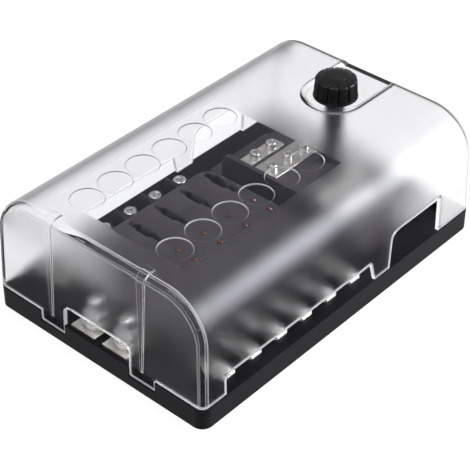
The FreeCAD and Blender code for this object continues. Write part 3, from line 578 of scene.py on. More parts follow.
def resistor_material(settings):
    """Chip resistor: black middle, tinned ends."""
    paint = new_material("chip_resistor")
    where, x, _, _ = paint.place()
    end = (x - FIRST_WAY * MM).repeat(PITCH * MM).above(1.15 * MM)
    speck = paint.noise(where, 0.3, 2.0)
    colour = paint.mix(end, (0.02, 0.02, 0.022), settings.tinned)
    return paint.finish(paint.surface(Base_Color=colour, Metallic=end, Roughness=0.32 + 0.15 * speck,
                                      Normal=paint.bump(speck, 0.01)))


# Meshes

def lattice(rows, columns, start=0, flip=False):
    """Quads of a grid of points whose index is start + row * columns + column."""
    r, c = np.meshgrid(np.arange(rows - 1), np.arange(columns - 1), indexing="ij")
    a = start + r * columns + c
    quads = np.stack([a, a + columns, a + columns + 1, a + 1], axis=-1)
    return quads[..., ::-1] if flip else quads


def mesh_object(name, points, faces, body, slot, *materials):
    """A smooth-shaded piece from points in metres and its faces, riding on a body."""
    mesh = bpy.data.meshes.new(name)
    mesh.from_pydata(points, [], faces)
    mesh.validate()
    for material in materials:
        mesh.materials.append(material)
    mesh.shade_smooth()
    piece = bpy.data.objects.new(name, mesh)
    bpy.context.scene.collection.objects.link(piece)
    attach(piece, body)
    return piece


def rounded(piece, width):
    """Bevel edges over 32 degrees and even the shading out."""
    sharp = math.radians(32.0)
    piece.data.set_sharp_from_angle(angle=sharp)
    if width:
        bevel = piece.modifiers.new("round", "BEVEL")
        bevel.width = width
        bevel.segments = 2
        bevel.limit_method = "ANGLE"
        bevel.angle_limit = sharp
        bevel.use_clamp_overlap = True
        bevel.miter_outer = "MITER_ARC"
    even = piece.modifiers.new("even", "WEIGHTED_NORMAL")
    even.keep_sharp = True


def dressed(node, body, material, width):
    """A copy of a CAD node with its triangles merged to flat faces and its edges rounded."""
    work = bmesh.new()
    work.from_mesh(NODES[node].data)
    bmesh.ops.remove_doubles(work, verts=work.verts, dist=2e-6)
    if width:
        bmesh.ops.dissolve_limit(work, angle_limit=math.radians(0.4), verts=work.verts, edges=work.edges,
                                 use_dissolve_boundaries=False)
    mesh = bpy.data.meshes.new(node + "_dressed")
    work.to_mesh(mesh)
    work.free()
    mesh.materials.clear()
    mesh.materials.append(material)
    mesh.polygons.foreach_set("material_index", np.zeros(len(mesh.polygons), dtype=np.int32))
    mesh.shade_smooth()
    piece = bpy.data.objects.new(node + "_dressed", mesh)
    bpy.context.scene.collection.objects.link(piece)
    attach(piece, body)
    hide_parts(node)
    rounded(piece, width)


def finish_node(node, material):
    """Give a CAD node that stays its material."""
    NODES[node].data.materials.clear()
    NODES[node].data.materials.append(material)


def ring_faces(rings, spokes, start=0):
    """Faces of a closed surface of rings between two poles: pole, rings * spokes points, pole."""
    first = start
    last = start + 1 + rings * spokes
    turn = np.arange(spokes)
    after = (turn + 1) % spokes
    top = [(first, int(first + 1 + a), int(first + 1 + b)) for a, b in zip(turn, after)]
    r = np.arange(rings - 1)[:, None]
    a = start + 1 + r * spokes + turn
    b = start + 1 + r * spokes + after
    sides = np.stack([a, a + spokes, b + spokes, b], axis=-1).reshape(-1, 4).tolist()
    base = start + 1 + (rings - 1) * spokes
    low = [(last, int(base + b), int(base + a)) for a, b in zip(turn, after)]
    return top + sides + low


def ring_points(centre, radii, heights, angles):
    """Points of such a surface: pole over the centre, each ring at its radii and heights, pole below."""
    x = centre[0] + radii * np.cos(angles)
    y = centre[1] + radii * np.sin(angles)
    rings = np.stack([x, y, np.broadcast_to(heights, x.shape)], axis=-1).reshape(-1, 3)
    top = (centre[0], centre[1], float(np.mean(heights[0])))
    low = (centre[0], centre[1], float(np.mean(heights[-1])))
    return np.concatenate([[top], rings, [low]])


# Cover

# Lines across a label's cell, from -1 to 1, and across half the pocket, from 1 to 0

LABEL = np.array([-1, -.9, -.86, -.7, -.5, -.3, -.15, 0, .15, .3, .5, .7, .86, .9, 1])
POCKET = np.array([1, .93, .86, .80, .66, .5, .33, .16, 0])

# Columns of the label cells and of the middle with the pocket, out of sixty per half

CELLS = slice(37, 52)
MIDDLE = slice(51, 60)


def disc_map(a, b, lines, radii, half_a, half_b):
    """Square to disc: the point at (a, b) goes to the circle whose radius belongs to max(|a|, |b|), at the
    angle a quarter turn per half side gives; past the last circle it goes straight to the square's border."""
    rho = np.maximum(np.abs(a), np.abs(b))
    safe_a = np.where(np.abs(a) < 1e-9, 1.0, a)
    safe_b = np.where(np.abs(b) < 1e-9, 1.0, b)
    wide = np.abs(a) >= np.abs(b)
    turn = np.pi / 4 * np.where(wide, b / safe_a, a / safe_b)
    u = np.where(wide, np.sign(a) * np.cos(turn), np.sign(b) * np.sin(turn))
    v = np.where(wide, np.sign(a) * np.sin(turn), np.sign(b) * np.cos(turn))
    r = np.interp(rho, lines, radii)
    t = np.clip((rho - lines[-1]) / (1 - lines[-1]), 0, 1)
    return (1 - t) * r * u + t * a * half_a, (1 - t) * r * v + t * b * half_b


class CoverShape:
    """The cover's two skins in millimetres: the same grid is worked out at depth 0 and at the wall's depth.

    Columns run across, from the front wall's foot over the top to the rear wall's foot. Stations run along x:
    near end edge, roof with six label cells, the pocket, far end edge. The end walls are grids of their own
    that share the edge's last station."""

    # Heights, half sizes and places along x. The cells run from cell_x to ways_x, the taller opening belongs
    # to ground_x and corner_x, and sides are the |y| of the cells' outer border and of the middle's border
    # before and along the pocket. Pairs are for the outer and the inner skin.
    top = 65.5
    foot = 11.4
    draft = 0.032
    half_x = 97.84
    half_y = 64.24
    way_y = 26.6
    rib_y = 28.1
    pocket_x = 67.0
    hole_x = 68.0
    pocket_lines = [0, .16, .80, .86]
    cell_x = -82.45
    ways_x = 22.55
    ground_x = 34.5
    corner_x = 38.37
    pocket_start = 47.4
    rib_x = -89.34
    rib_side = 35.9
    rib_limit = 98.3
    hole = 2.58
    floors = (63.3, 61.2)
    centre_y = 40.62
    sides = (36.0, 17.2, 19.6)

    def __init__(self, settings):
        self.wall = settings.wall / MM
        self.radius = settings.long_radius / MM
        self.end_radius = settings.end_radius / MM
        self.label = settings.label_diameter / 2 / MM
        self.label_depth = settings.label_depth / MM
        self.rib_height = settings.rib_height / MM
        self.centre_z = self.top - self.radius
        steps = np.sin(np.radians(18 * np.arange(1, 6)))
        low = WAY_TOP - WAY_CORNER
        high = GROUND_TOP - GROUND_CORNER
        self.wall_z = np.concatenate([[self.foot, 12.4, 15.3, low], low + WAY_CORNER * steps, [24.0, high],
                                      high + GROUND_CORNER * steps, [33.9, 37.1, 40.4, 0.0]])
        near = np.radians([90, 75, 60, 45, 30, 15, 0])
        far = np.radians([0, 16, 33, 49, 65.1, 78, 90])
        cells = [self.cell_x + PITCH * (k + (LABEL[1:] + 1) / 2) for k in range(WAYS)]
        start = self.edge_x(self.top)
        roof = np.concatenate([[-89.9, self.rib_x, -86.0, self.cell_x], *cells,
                               [28.5, self.ground_x, 41.0, self.pocket_start],
                               self.pocket_x - self.sides[2] * POCKET[1:], [69.4, GROUND_RIGHT, 79.0, 87.0]])
        self.x = np.concatenate([np.full(7, -start), roof, np.full(7, start)])
        self.turn = np.concatenate([near, np.zeros(len(roof)), far])
        self.side = np.concatenate([-np.ones(7), np.zeros(len(roof)), np.ones(7)])
        column = np.arange(119)
        self.half = np.minimum(column, 118 - column)
        self.sign = np.sign(column - 59)

    def edge_x(self, z):
        """Where the short edges' rounding starts, from the middle."""
        return self.half_x - self.end_radius - self.draft * (z - self.foot)

    def profile(self, inset):
        """|y| and z of columns 0 to 35 for each inset: leaning wall, then a quarter circle to the roof."""
        inset = np.asarray(inset, dtype=float)[:, None]
        lean = math.atan(self.draft)
        r = self.radius - inset
        z = np.broadcast_to(self.wall_z, (len(inset), 20)).copy()
        z[:, 19] = (self.centre_z + r * math.sin(lean))[:, 0]
        y = self.half_y - inset - self.draft * (z - self.foot)
        y[:, 19] = (self.centre_y + r * math.cos(lean))[:, 0]
        eighth = np.pi / 4
        angle = np.concatenate([np.linspace(lean, eighth, 9)[1:], np.linspace(eighth, 2 * eighth, 9)[1:]])
        y = np.concatenate([y, self.centre_y + r * np.cos(angle)], axis=1)
        z = np.concatenate([z, self.centre_z + r * np.sin(angle)], axis=1)
        return y, z

    def rib_lines(self, z, inner, outer):
        """|y| of the fifteen lines of the rib's band at height z: the rib widens evenly upwards."""
        foot = 0.85 + 1.75 * (z - 12.3) / 55.2
        crest = np.maximum(foot - 0.3, 0.3)
        shape = np.broadcast(z, inner, outer).shape
        z, inner, outer, foot, crest = (np.broadcast_to(v, shape) for v in (z, inner, outer, foot, crest))
        known = np.array([-1, -.5, -.3, .3, .5, 1])
        values = np.stack([inner, self.rib_y - foot, self.rib_y - crest, self.rib_y + crest,
                           self.rib_y + foot, outer], axis=-1)
        a = LABEL[::-1]
        spot = np.clip(np.searchsorted(known, a, side="right") - 1, 0, 4)
        t = (a - known[spot]) / (known[spot + 1] - known[spot])
        return values[..., spot] * (1 - t) + values[..., spot + 1] * t

    def roof(self, depth):
        """Points of the roof and both long walls: profile swept along x, the end edges turned down."""
        outer = depth == 0
        radius = self.end_radius - depth
        inset = depth + radius * (1 - np.cos(self.turn))
        count = len(self.x)
        m = np.arange(60)
        y = np.zeros((count, 60))
        z = np.zeros((count, 60))
        y[:, :36], z[:, :36] = self.profile(inset)
        z[:, 36:] = (self.top - inset)[:, None]
        x = np.repeat(self.x[:, None], 60, axis=1)
        x[:, :36] = self.spread(z)
        inner_side = np.interp(self.x, [self.ways_x, self.pocket_start], [self.sides[1], self.sides[2]])
        outer_side = np.full(count, self.sides[0])
        y[:, 36] = (self.centre_y + self.sides[0]) / 2
        a = LABEL[::-1]
        level = inner_side[:, None] + (outer_side - inner_side)[:, None] * (a + 1) / 2
        ribs = self.rib_lines(z[:, 37], inner_side, outer_side)
        keep = np.interp(self.x, [self.rib_x, self.cell_x], [1, 0])[:, None]
        y[:, CELLS] = keep * ribs + (1 - keep) * level
        y[:, MIDDLE] = POCKET * inner_side[:, None]
        lift = np.zeros((count, 60))
        if outer:
            rib = (np.abs(a) <= .31) * 1.0
            lift[:, CELLS] = rib * (self.x < -89.5)[:, None]
        # label cells
        for k in range(WAYS):
            rows = slice(10 + 14 * k, 25 + 14 * k)
            b = LABEL[:, None]
            across = np.broadcast_to(a, (15, 15))
            u, v = disc_map(across, np.broadcast_to(b, (15, 15)), [0, .86, .9],
                            [0, self.label - .1, self.label], 9.4, PITCH / 2)
            x[rows, CELLS] = self.cell_x + PITCH * (k + .5) + v
            y[rows, CELLS] = self.way_y + u
            if outer:
                rho = np.maximum(np.abs(across), np.abs(b))
                z[rows, CELLS] -= self.label_depth * (rho < .88)
        # pocket: a U open through the far end
        floor, radii = self.pocket(outer)
        lines = self.pocket_lines
        first = int(np.argmin(np.abs(self.x - self.pocket_start)))
        b = -POCKET[:, None]
        across = np.broadcast_to(POCKET, (9, 9))
        u, v = disc_map(across, np.broadcast_to(b, (9, 9)), lines, radii, self.sides[2], self.sides[2])
        rows = slice(first, first + 9)
        rho = np.maximum(across, np.abs(b))
        x[rows, MIDDLE] = np.where(rho < .2, self.hole_x, self.pocket_x) + v
        y[rows, MIDDLE] = u
        z[rows, MIDDLE] = np.where(rho < .81, floor, self.top - depth)
        after = slice(first + 9, count)
        y[after, MIDDLE] = np.interp(POCKET, lines + [1], radii + [self.sides[2]])
        low = np.minimum(z[after, MIDDLE], floor)
        z[after, MIDDLE] = np.where(POCKET < .81, low, z[after, MIDDLE])
        x[first + 9, 58:60] = self.hole_x + self.hole * np.array([math.sqrt(.5), 1])
        y[first + 9, 58] = self.hole * math.sqrt(.5)
        slope = (radii[3] - radii[2]) / 2.2
        mouth = np.maximum(radii[2] + (self.top - inset - floor) * slope, radii[2] + .15)
        y[:, 53] = np.where(self.side > 0, mouth, y[:, 53])
        # end edges
        full = radius + self.rib_height * lift
        edge = self.edge_x(z)
        on_edge = (self.side != 0)[:, None]
        raised = z + self.rib_height * lift * np.cos(self.turn)[:, None]
        z = np.where(on_edge & (m >= 36), raised, z)
        z = np.where((self.side == 0)[:, None], z + self.rib_height * lift, z)
        x = np.where(on_edge, self.side[:, None] * (edge + full * np.sin(self.turn)[:, None]), x)
        self.first_pocket = first
        return self.mirrored(x, y, z)

    def pocket(self, outer):
        """Floor of the knob's pocket and the radii of its lines: hole, foot and head of the slope."""
        if outer:
            return self.floors[0], [0, self.hole, 13.6, 15.9]
        return self.floors[1], [0, self.hole, 14.45, 16.75]

    def spread(self, z):
        """x of every station on the wall and arc columns: straight between the openings' own edges."""
        row_z = z[10, :36]
        t = np.clip((row_z - WAY_TOP) / (z[10, 19] - WAY_TOP), 0, 1)
        arc = np.radians(18 * np.arange(6))
        left = np.full(36, WAY_LEFT)
        turned = WAY_LEFT + WAY_CORNER
        left[3:9] = turned - WAY_CORNER * np.cos(arc)
        left[9:] = turned + (self.cell_x - turned) * t[9:]
        right = WAY_RIGHT - WAY_LEAN * (row_z - OPENING_FOOT)
        right[9:] = right[8] + (self.ways_x - right[8]) * t[9:]
        high = GROUND_LEFT + GROUND_LEAN * (row_z - OPENING_FOOT)
        high[10:16] = self.corner_x - GROUND_CORNER * np.cos(arc)
        u = np.clip((row_z - GROUND_TOP) / (z[10, 19] - GROUND_TOP), 0, 1)
        high[16:] = self.corner_x + (self.ground_x - self.corner_x) * u[16:]
        start = self.edge_x(self.top)
        x = np.empty((len(self.x), 36))
        for m in range(36):
            ends = self.edge_x(row_z[m])
            x[:, m] = np.interp(self.x,
                                [-start, self.cell_x, self.ways_x, self.ground_x, GROUND_RIGHT, start],
                                [-ends, left[m], right[m], high[m], GROUND_RIGHT, ends])
        return x

    def mirrored(self, x, y, z):
        """All columns from the sixty of one half."""
        return np.stack([x[:, self.half], self.sign * y[:, self.half], z[:, self.half]], axis=-1)

    def end(self, depth, far):
        """Points of an end wall, rows upwards: straight columns in the middle, and to each corner a patch
        blended from its four borders."""
        outer = depth == 0
        radius = self.end_radius - depth
        high = self.top - depth - radius
        arc = np.radians(18 * np.arange(1, 6))
        if far:
            rows = np.linspace(self.foot, high, 28)
        else:
            straight = END_TOP - END_CORNER
            rows = np.concatenate([[self.foot, 12.3, 12.9, straight], straight + END_CORNER * np.sin(arc),
                                   np.linspace(END_TOP, high, 20)[1:]])
        side_y, side_z = (v[0] for v in self.profile([depth + radius]))
        y = np.zeros((28, 60))
        z = np.repeat(rows[:, None], 60, axis=1)
        u = (np.arange(9) / 8)[None, :]
        v = ((rows - rows[0]) / (rows[-1] - rows[0]))[:, None]
        for grid, left, corner_right, top in ((y, side_y[:28], np.full(28, self.centre_y), side_y[27:36]),
                                              (z, side_z[:28], rows, side_z[27:36])):
            base = left[0] + (corner_right[0] - left[0]) * u
            ruled = (1 - u) * left[:, None] + u * corner_right[:, None]
            crossed = (1 - v) * base + v * top
            plane = ((1 - u) * (1 - v) * left[0] + u * (1 - v) * corner_right[0]
                     + (1 - u) * v * left[-1] + u * v * corner_right[-1])
            grid[:, 27:36] = ruled + crossed - plane
        if far:
            inner_side = np.full(28, self.sides[2])
            outer_side = np.full(28, self.sides[0])
            a = LABEL[::-1]
            band = inner_side[:, None] + (outer_side - inner_side)[:, None] * (a + 1) / 2
            floor, radii = self.pocket(outer)
            middle = np.interp(POCKET, self.pocket_lines + [1], radii + [self.sides[2]])
            middle[2] = radii[2] + .15
            middle = np.broadcast_to(middle, (28, 9))
        else:
            turned = END_HALF - END_CORNER
            inner_side = np.concatenate([np.full(4, END_HALF), turned + END_CORNER * np.cos(arc),
                                         np.linspace(turned, self.sides[1], 20)[1:]])
            outer_side = np.linspace(self.rib_side, self.sides[0], 28)
            band = self.rib_lines(rows, inner_side, outer_side)
            middle = POCKET * inner_side[:, None]
        y[:, CELLS] = band
        y[:, MIDDLE] = middle
        y[:, 36] = (self.centre_y + outer_side) / 2
        if far and not outer:
            low = np.minimum(z[:, MIDDLE], self.floors[1])
            z[:, MIDDLE] = np.where(POCKET < .81, low, z[:, MIDDLE])
        x = self.half_x - depth - self.draft * (z - self.foot)
        if outer and not far:
            rib = (np.abs(LABEL[::-1]) <= .31) * 1.0
            x[:, CELLS] += self.rib_height * rib * (rows > 12.5)[:, None]
            x = np.minimum(x, self.rib_limit)
        points = self.mirrored(x if far else -x, y, z)
        return points[:, 27:92]

    def tongue(self, depth, rear):
        """Points of a tongue below the near end wall, rows upwards, its low corners round."""
        arc = np.radians([90, 60, 30, 0])
        rows = np.concatenate([6.7 - 1.2 * np.sin(arc), [9.0, self.foot]])
        pull = np.concatenate([1.2 - 1.2 * np.cos(arc), [0, 0]])
        foot_y = self.rib_lines(np.full(6, self.foot), np.full(6, END_HALF), np.full(6, self.rib_side))
        mid = (END_HALF + self.rib_side) / 2
        y = mid + (foot_y - mid) * (1 - pull / 7.8)[:, None]
        x = np.full(y.shape, -(self.half_x - depth))
        z = np.repeat(rows[:, None], 15, axis=1)
        if rear:
            return np.stack([x, y[:, ::-1], z], axis=-1)
        return np.stack([x, -y, z], axis=-1)

    def skin(self, depth):
        """All grids of one skin, in a fixed order."""
        return [self.roof(depth), self.end(depth, False), self.end(depth, True), self.tongue(depth, False),
                self.tongue(depth, True)]

    def build(self):
        """Points, faces, the faces of the cut edges and the edges to round."""
        outer = self.skin(0.0)
        inner = self.skin(self.wall)
        faces = []
        start = 0
        for index, grid in enumerate(outer):
            quads = lattice(grid.shape[0], grid.shape[1], start, flip=index == 2)
            keep = np.ones(quads.shape[:2], dtype=bool)
            if index == 0:
                low = slice(10, 10 + 14 * WAYS)
                high = slice(int(np.argmin(np.abs(self.x - self.ground_x))),
                             int(np.argmin(np.abs(self.x - GROUND_RIGHT))))
                keep[low, :8] = False
                keep[low, 110:] = False
                keep[high, :15] = False
                keep[high, 103:] = False
                hole = self.first_pocket + 7
                keep[hole:hole + 2, 58:60] = False
            if index == 1:
                keep[:8, 24:40] = False
            faces.append(quads[keep])
            start += grid.shape[0] * grid.shape[1]
        faces = np.concatenate(faces)
        outer = np.concatenate([g.reshape(-1, 3) for g in outer])
        inner = np.concatenate([g.reshape(-1, 3) for g in inner])
        keys = np.round(outer / 1e-3).astype(np.int64)
        _, first, where = np.unique(keys, axis=0, return_index=True, return_inverse=True)
        where = where.reshape(-1)
        faces = where[faces]
        outer = outer[first]
        inner = inner[first]
        used = np.unique(faces)
        renumber = np.full(len(outer), -1)
        renumber[used] = np.arange(len(used))
        faces = renumber[faces]
        outer = outer[used]
        inner = inner[used]
        count = len(outer)
        a = faces.reshape(-1)
        b = np.roll(faces, -1, axis=1).reshape(-1)
        single = ~np.isin(a * count + b, b * count + a)
        a = a[single]
        b = b[single]
        rim = np.stack([b, a, a + count, b + count], axis=-1)
        every = np.concatenate([faces, faces[:, ::-1] + count, rim])
        points = np.concatenate([outer, inner]) * MM
        borders = np.concatenate([np.stack([a, b], axis=-1), np.stack([a, b], axis=-1) + count])
        return points, every, len(rim), borders


def fold(mesh):
    """Angle in degrees across every edge of a closed mesh, from the sum of the normals of its two faces."""
    edge = np.empty(len(mesh.loops), dtype=np.int32)
    mesh.loops.foreach_get("edge_index", edge)
    corners = np.empty(len(mesh.polygons), dtype=np.int32)
    mesh.polygons.foreach_get("loop_total", corners)
    normal = np.empty(len(mesh.polygons) * 3, dtype=np.float32)
    mesh.polygons.foreach_get("normal", normal)
    both = np.zeros((len(mesh.edges), 3))
    np.add.at(both, edge, normal.reshape(-1, 3)[np.repeat(np.arange(len(corners)), corners)])
    return np.degrees(2 * np.arccos(np.clip(np.linalg.norm(both, axis=1) / 2, 0, 1)))


def make_cover(settings):
    """The frosted cover: both skins, cut edges polished and rounded."""
    points, faces, rims, borders = CoverShape(settings).build()
    cover = mesh_object("clear_cover", points.tolist(), faces.tolist(), "cover", "frosted_plastic",
                        cover_skin_material(settings), cover_edge_material(settings))
    mesh = cover.data
    index = np.zeros(len(mesh.polygons), dtype=np.int32)
    index[-rims:] = 1
    mesh.polygons.foreach_set("material_index", index)
    ends = np.empty(len(mesh.edges) * 2, dtype=np.int64)
    mesh.edges.foreach_get("vertices", ends)
    ends = np.sort(ends.reshape(-1, 2), axis=1)
    borders = np.sort(borders, axis=1)
    size = len(points)
    cut = np.isin(ends[:, 0] * size + ends[:, 1], borders[:, 0] * size + borders[:, 1])
    weight = mesh.attributes.new("bevel_weight_edge", "FLOAT", "EDGE")
    weight.data.foreach_set("value", np.where(cut, 1.0, 0.4 * (fold(mesh) > 30)).astype(np.float32))
    mesh.set_sharp_from_angle(angle=math.radians(38))
    bevel = cover.modifiers.new("round", "BEVEL")
    bevel.width = settings.edge_round
    bevel.segments = 2
    bevel.limit_method = "WEIGHT"
    bevel.use_clamp_overlap = False
    bevel.material = 1
    even = cover.modifiers.new("even", "WEIGHTED_NORMAL")
    even.keep_sharp = True
    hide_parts("cover")


# Knob

def make_knob(settings):
    """Lobed knob: a turned profile held back, smoothly blended, to grip - depth * (1 - sqrt |cos (n a / 2)|),
    whose depth grows with the height over the shoulder."""
    grip = settings.diameter / 2
    skirt = settings.skirt / 2
    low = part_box("cover_knob")[0][2]
    top = low + settings.height
    spokes = settings.flutes * 20
    angle = np.arange(spokes) / spokes * 2 * np.pi
    between = 1 - np.sqrt(np.abs(np.cos(angle * settings.flutes / 2)))
    tip = grip - settings.taper
    shoulder = top - settings.crown - 1.0 * MM
    disc = settings.disc / 2
    foot = low + 1.02 * MM
    # Radius, height and share of the hollows: flared foot, lobes, their round shoulder, crown, flat disc
    profile = [(skirt - 0.5 * MM, low, 0), (skirt - 0.15 * MM, low, 0), (skirt, low + 0.15 * MM, 0),
               (skirt, low + 0.45 * MM, 0), (skirt - 0.1 * MM, low + 0.6 * MM, 0),
               (grip + 0.05 * MM, low + 0.9 * MM, 0), (grip, low + 1.0 * MM, 0), (grip, foot, 0.8)]
    profile += [(grip + (tip - grip) * t, foot + (shoulder - foot) * t, 1) for t in np.linspace(0.05, 1, 6)]
    profile += [(tip - MM * (1 - np.cos(t)), shoulder + MM * np.sin(t), 1)
                for t in np.radians(np.arange(15, 76, 12))]
    brim, brim_z, _ = profile[-1]
    rise = top - 0.03 * MM - brim_z
    profile += [(brim + (disc - brim) * t, brim_z + rise * t, 1) for t in (0.15, 0.4, 0.7, 0.92)]
    profile += [(disc, top - 0.2 * MM, 1), (disc - 0.12 * MM, top - 0.2 * MM, 1),
                (disc - 0.2 * MM, top - 0.03 * MM, 1), (disc - 0.4 * MM, top, 1), (disc * 0.6, top, 1),
                (disc * 0.2, top, 1)]
    r, z, fluted = (np.array(v)[:, None] for v in zip(*profile))
    hollow = grip - between * (settings.flute_depth + 1.5 * np.maximum(z - shoulder, 0))
    soft = 0.3 * MM
    mix = np.clip(0.5 + 0.5 * (hollow - r) / soft, 0, 1)
    held = hollow * (1 - mix) + r * mix - soft * mix * (1 - mix)
    radii = (r * (1 - fluted) + held * fluted)[::-1]
    heights = np.broadcast_to(z, radii.shape[:1] + (1,))[::-1]
    points = ring_points((settings.centre, 0.0), radii, heights, angle)
    knob = mesh_object("lobed_knob", points.tolist(), ring_faces(len(radii), spokes), "knob", "knob_plastic",
                       knob_material(settings))
    knob.data.set_sharp_from_angle(angle=math.radians(50))
    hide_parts("cover_knob")


# Screws

def cross_outline(angle, arm, half_width):
    """Distance from the centre to the edge of a cross at each angle: the nearer arm's tip or side."""
    c = np.abs(np.cos(angle))
    s = np.abs(np.sin(angle))
    long_side = np.maximum(c, s)
    short_side = np.minimum(c, s)
    return np.minimum(arm / long_side, half_width / np.maximum(short_side, 1e-9))


def screw_angles(arm, half_width, steps):
    """Spokes of a head: the cross's corners and even steps between them."""
    tip = math.atan(half_width / arm)
    quarter = np.concatenate([[0.0], np.linspace(tip, np.pi / 4, steps // 2, endpoint=False),
                              np.linspace(np.pi / 4, np.pi / 2 - tip, steps // 2 + 1)])
    return np.concatenate([quarter + k * np.pi / 2 for k in range(4)])


def screw_points(centre, seat, head, height, shank, tip, recess, steps, turn):
    """Pan-head screw: a dome that falls with the square of the distance from its axis, a tapered cross
    recess, a straight side and a shank, turned by its angle."""
    arm = head * 0.29
    half_width = head * 0.075
    angle = screw_angles(arm, half_width, steps)
    cross = cross_outline(angle, arm, half_width)
    top = seat + height
    r = head / 2
    ones = np.ones_like(angle)

    def dome(radius):
        return top - 0.20 * height * (radius / r) ** 2

    rings = [(0.42 * cross, top - recess), (0.62 * cross, top - recess),
             (0.97 * cross, dome(cross) - 0.12 * MM), (1.04 * cross, dome(cross))]
    for share_out in (0.25, 0.5, 0.75):
        out = cross + (0.86 * r - cross) * share_out
        rings.append((out, dome(out)))
    rings += [(0.86 * r * ones, dome(0.86 * r)), (0.94 * r * ones, top - 0.28 * height),
              (0.985 * r * ones, top - 0.40 * height),
              (r * ones, top - 0.55 * height), (r * ones, seat + 0.12 * MM), ((r - 0.12 * MM) * ones, seat),
              (shank / 2 * ones, seat), (shank / 2 * ones, tip + 0.4 * MM),
              ((shank / 2 - 0.4 * MM) * ones, tip)]
    radii = np.stack([a for a, _ in rings])
    heights = np.stack([np.broadcast_to(b, angle.shape) for _, b in rings])
    return ring_points(centre, radii, heights, angle + turn), len(rings), len(angle)


def make_screws(settings, name, node, places, seat, head, height, tip, material):
    """One piece of like screws between their seat and their tip's height, each turned by its own angle."""
    points = []
    faces = []
    start = 0
    for number, place in enumerate(places):
        turn = (number * 2.399963) % (np.pi / 2)
        made, rings, spokes = screw_points(place, seat, head, height, settings.shank, tip, settings.recess,
                                           settings.spokes, turn)
        points.append(made)
        faces += ring_faces(rings, spokes, start)
        start += len(made)
    piece = mesh_object(name, np.concatenate(points).tolist(), faces, "housing", "bright_steel", material)
    piece.data.set_sharp_from_angle(angle=math.radians(42))
    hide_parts(node)


# Operators

def settings_of(context):
    """The scene's settings of this add-on."""
    return context.scene.fuse_holder


class FuseHolderSettings(bpy.types.PropertyGroup):
    """All settings of the fuse holder."""
    cover: bpy.props.PointerProperty(type=CoverSettings, name="Cover", description="Moulded cover")
    moulding: bpy.props.PointerProperty(type=MouldingSettings, name="Mouldings", description="Moulded parts")
    metal: bpy.props.PointerProperty(type=MetalSettings, name="Metal", description="Metal parts")
    knob: bpy.props.PointerProperty(type=KnobSettings, name="Knob", description="Cover knob")
    stage: bpy.props.PointerProperty(type=StageSettings, name="Stage", description="Camera, floor and lights")


class HOLDER_OT_mouldings(bpy.types.Operator):
    """Dress the base, the blocks, the post, the bottom plate and the circuit board"""
    bl_idname = "fuse_holder.mouldings"
    bl_label = "Mouldings"

    def execute(self, context):
        settings = settings_of(context).moulding
        block = block_material(settings)
        dressed("base", "housing", base_material(settings), settings.base_edge)
        for name in ("fuse_block", "ground_block", "cover_post"):
            dressed(name, "housing", block, 0)
        finish_node("bottom_plate", sheet_material(settings))
        finish_node("lamp_board", board_material(settings))
        return {"FINISHED"}


class HOLDER_OT_sheet_metal(bpy.types.Operator):
    """Dress the terminals, the supply bars, the ground bars and the resistors"""
    bl_idname = "fuse_holder.sheet_metal"
    bl_label = "Sheet metal"

    def execute(self, context):
        settings = settings_of(context).metal
        tinned = tinned_material(settings)
        names = ["%s_terminal_%d" % (side, n) for side in ("front", "rear") for n in range(1, WAYS + 1)]
        names += [side + part for side in ("front", "rear")
                  for part in ("_supply_bar", "_outer_ground_bar", "_inner_ground_bar")]
        for name in names:
            dressed(name, "housing", tinned, settings.edge)
        finish_node("lamp_resistors", resistor_material(settings))
        return {"FINISHED"}


class HOLDER_OT_fasteners(bpy.types.Operator):
    """Model the screws that show, dress the other fasteners, the bush and the lamps"""
    bl_idname = "fuse_holder.fasteners"
    bl_label = "Fasteners"

    def execute(self, context):
        settings = settings_of(context).metal
        steel = steel_material(settings)
        ways = [FIRST_WAY + PITCH * n for n in range(WAYS)]
        places = [(x * MM, s * TERMINAL_Y * MM) for s in (-1, 1) for x in ways]
        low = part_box("terminal_screws")[0][2]
        make_screws(settings, "terminal_screw_set", "terminal_screws", places, settings.terminal_seat,
                    settings.terminal_head, settings.terminal_height, low, steel)
        places = [(x * MM, s * y * MM) for s in (-1, 1) for x, y in GROUND_SCREWS]
        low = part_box("ground_screws")[0][2]
        make_screws(settings, "ground_screw_set", "ground_screws", places, settings.ground_seat,
                    settings.ground_head, settings.ground_height, low, steel)
        for name in ("terminal_washers", "input_washers", "input_nuts", "input_studs"):
            dressed(name, "housing", steel, settings.edge)
        for name in ("terminal_nuts", "ground_nuts", "block_screws", "plate_screws", "post_screw",
                     "knob_screw", "knob_retainer"):
            finish_node(name, steel)
        finish_node("post_insert", brass_material(settings))
        finish_node("fault_lamps", lamp_material(settings))
        return {"FINISHED"}


class HOLDER_OT_cover(bpy.types.Operator):
    """Model the frosted cover"""
    bl_idname = "fuse_holder.cover"
    bl_label = "Cover"

    def execute(self, context):
        make_cover(settings_of(context).cover)
        return {"FINISHED"}


class HOLDER_OT_knob(bpy.types.Operator):
    """Model the lobed knob"""
    bl_idname = "fuse_holder.knob"
    bl_label = "Knob"

    def execute(self, context):
        make_knob(settings_of(context).knob)
        return {"FINISHED"}


def aim(place, target):
    """The axes right, up and back of a thing at the place whose -Z looks to the target, with X level."""
    back = np.array(place) - np.array(target)
    back /= np.linalg.norm(back)
    right = np.cross((0, 0, 1), back)
    right /= np.linalg.norm(right)
    return right, np.cross(back, right), back


def placed(right, up, back, place):
    """Matrix of a thing with those axes at that place."""
    return Matrix(np.vstack([np.column_stack([right, up, back, place]), (0, 0, 0, 1)]).tolist())


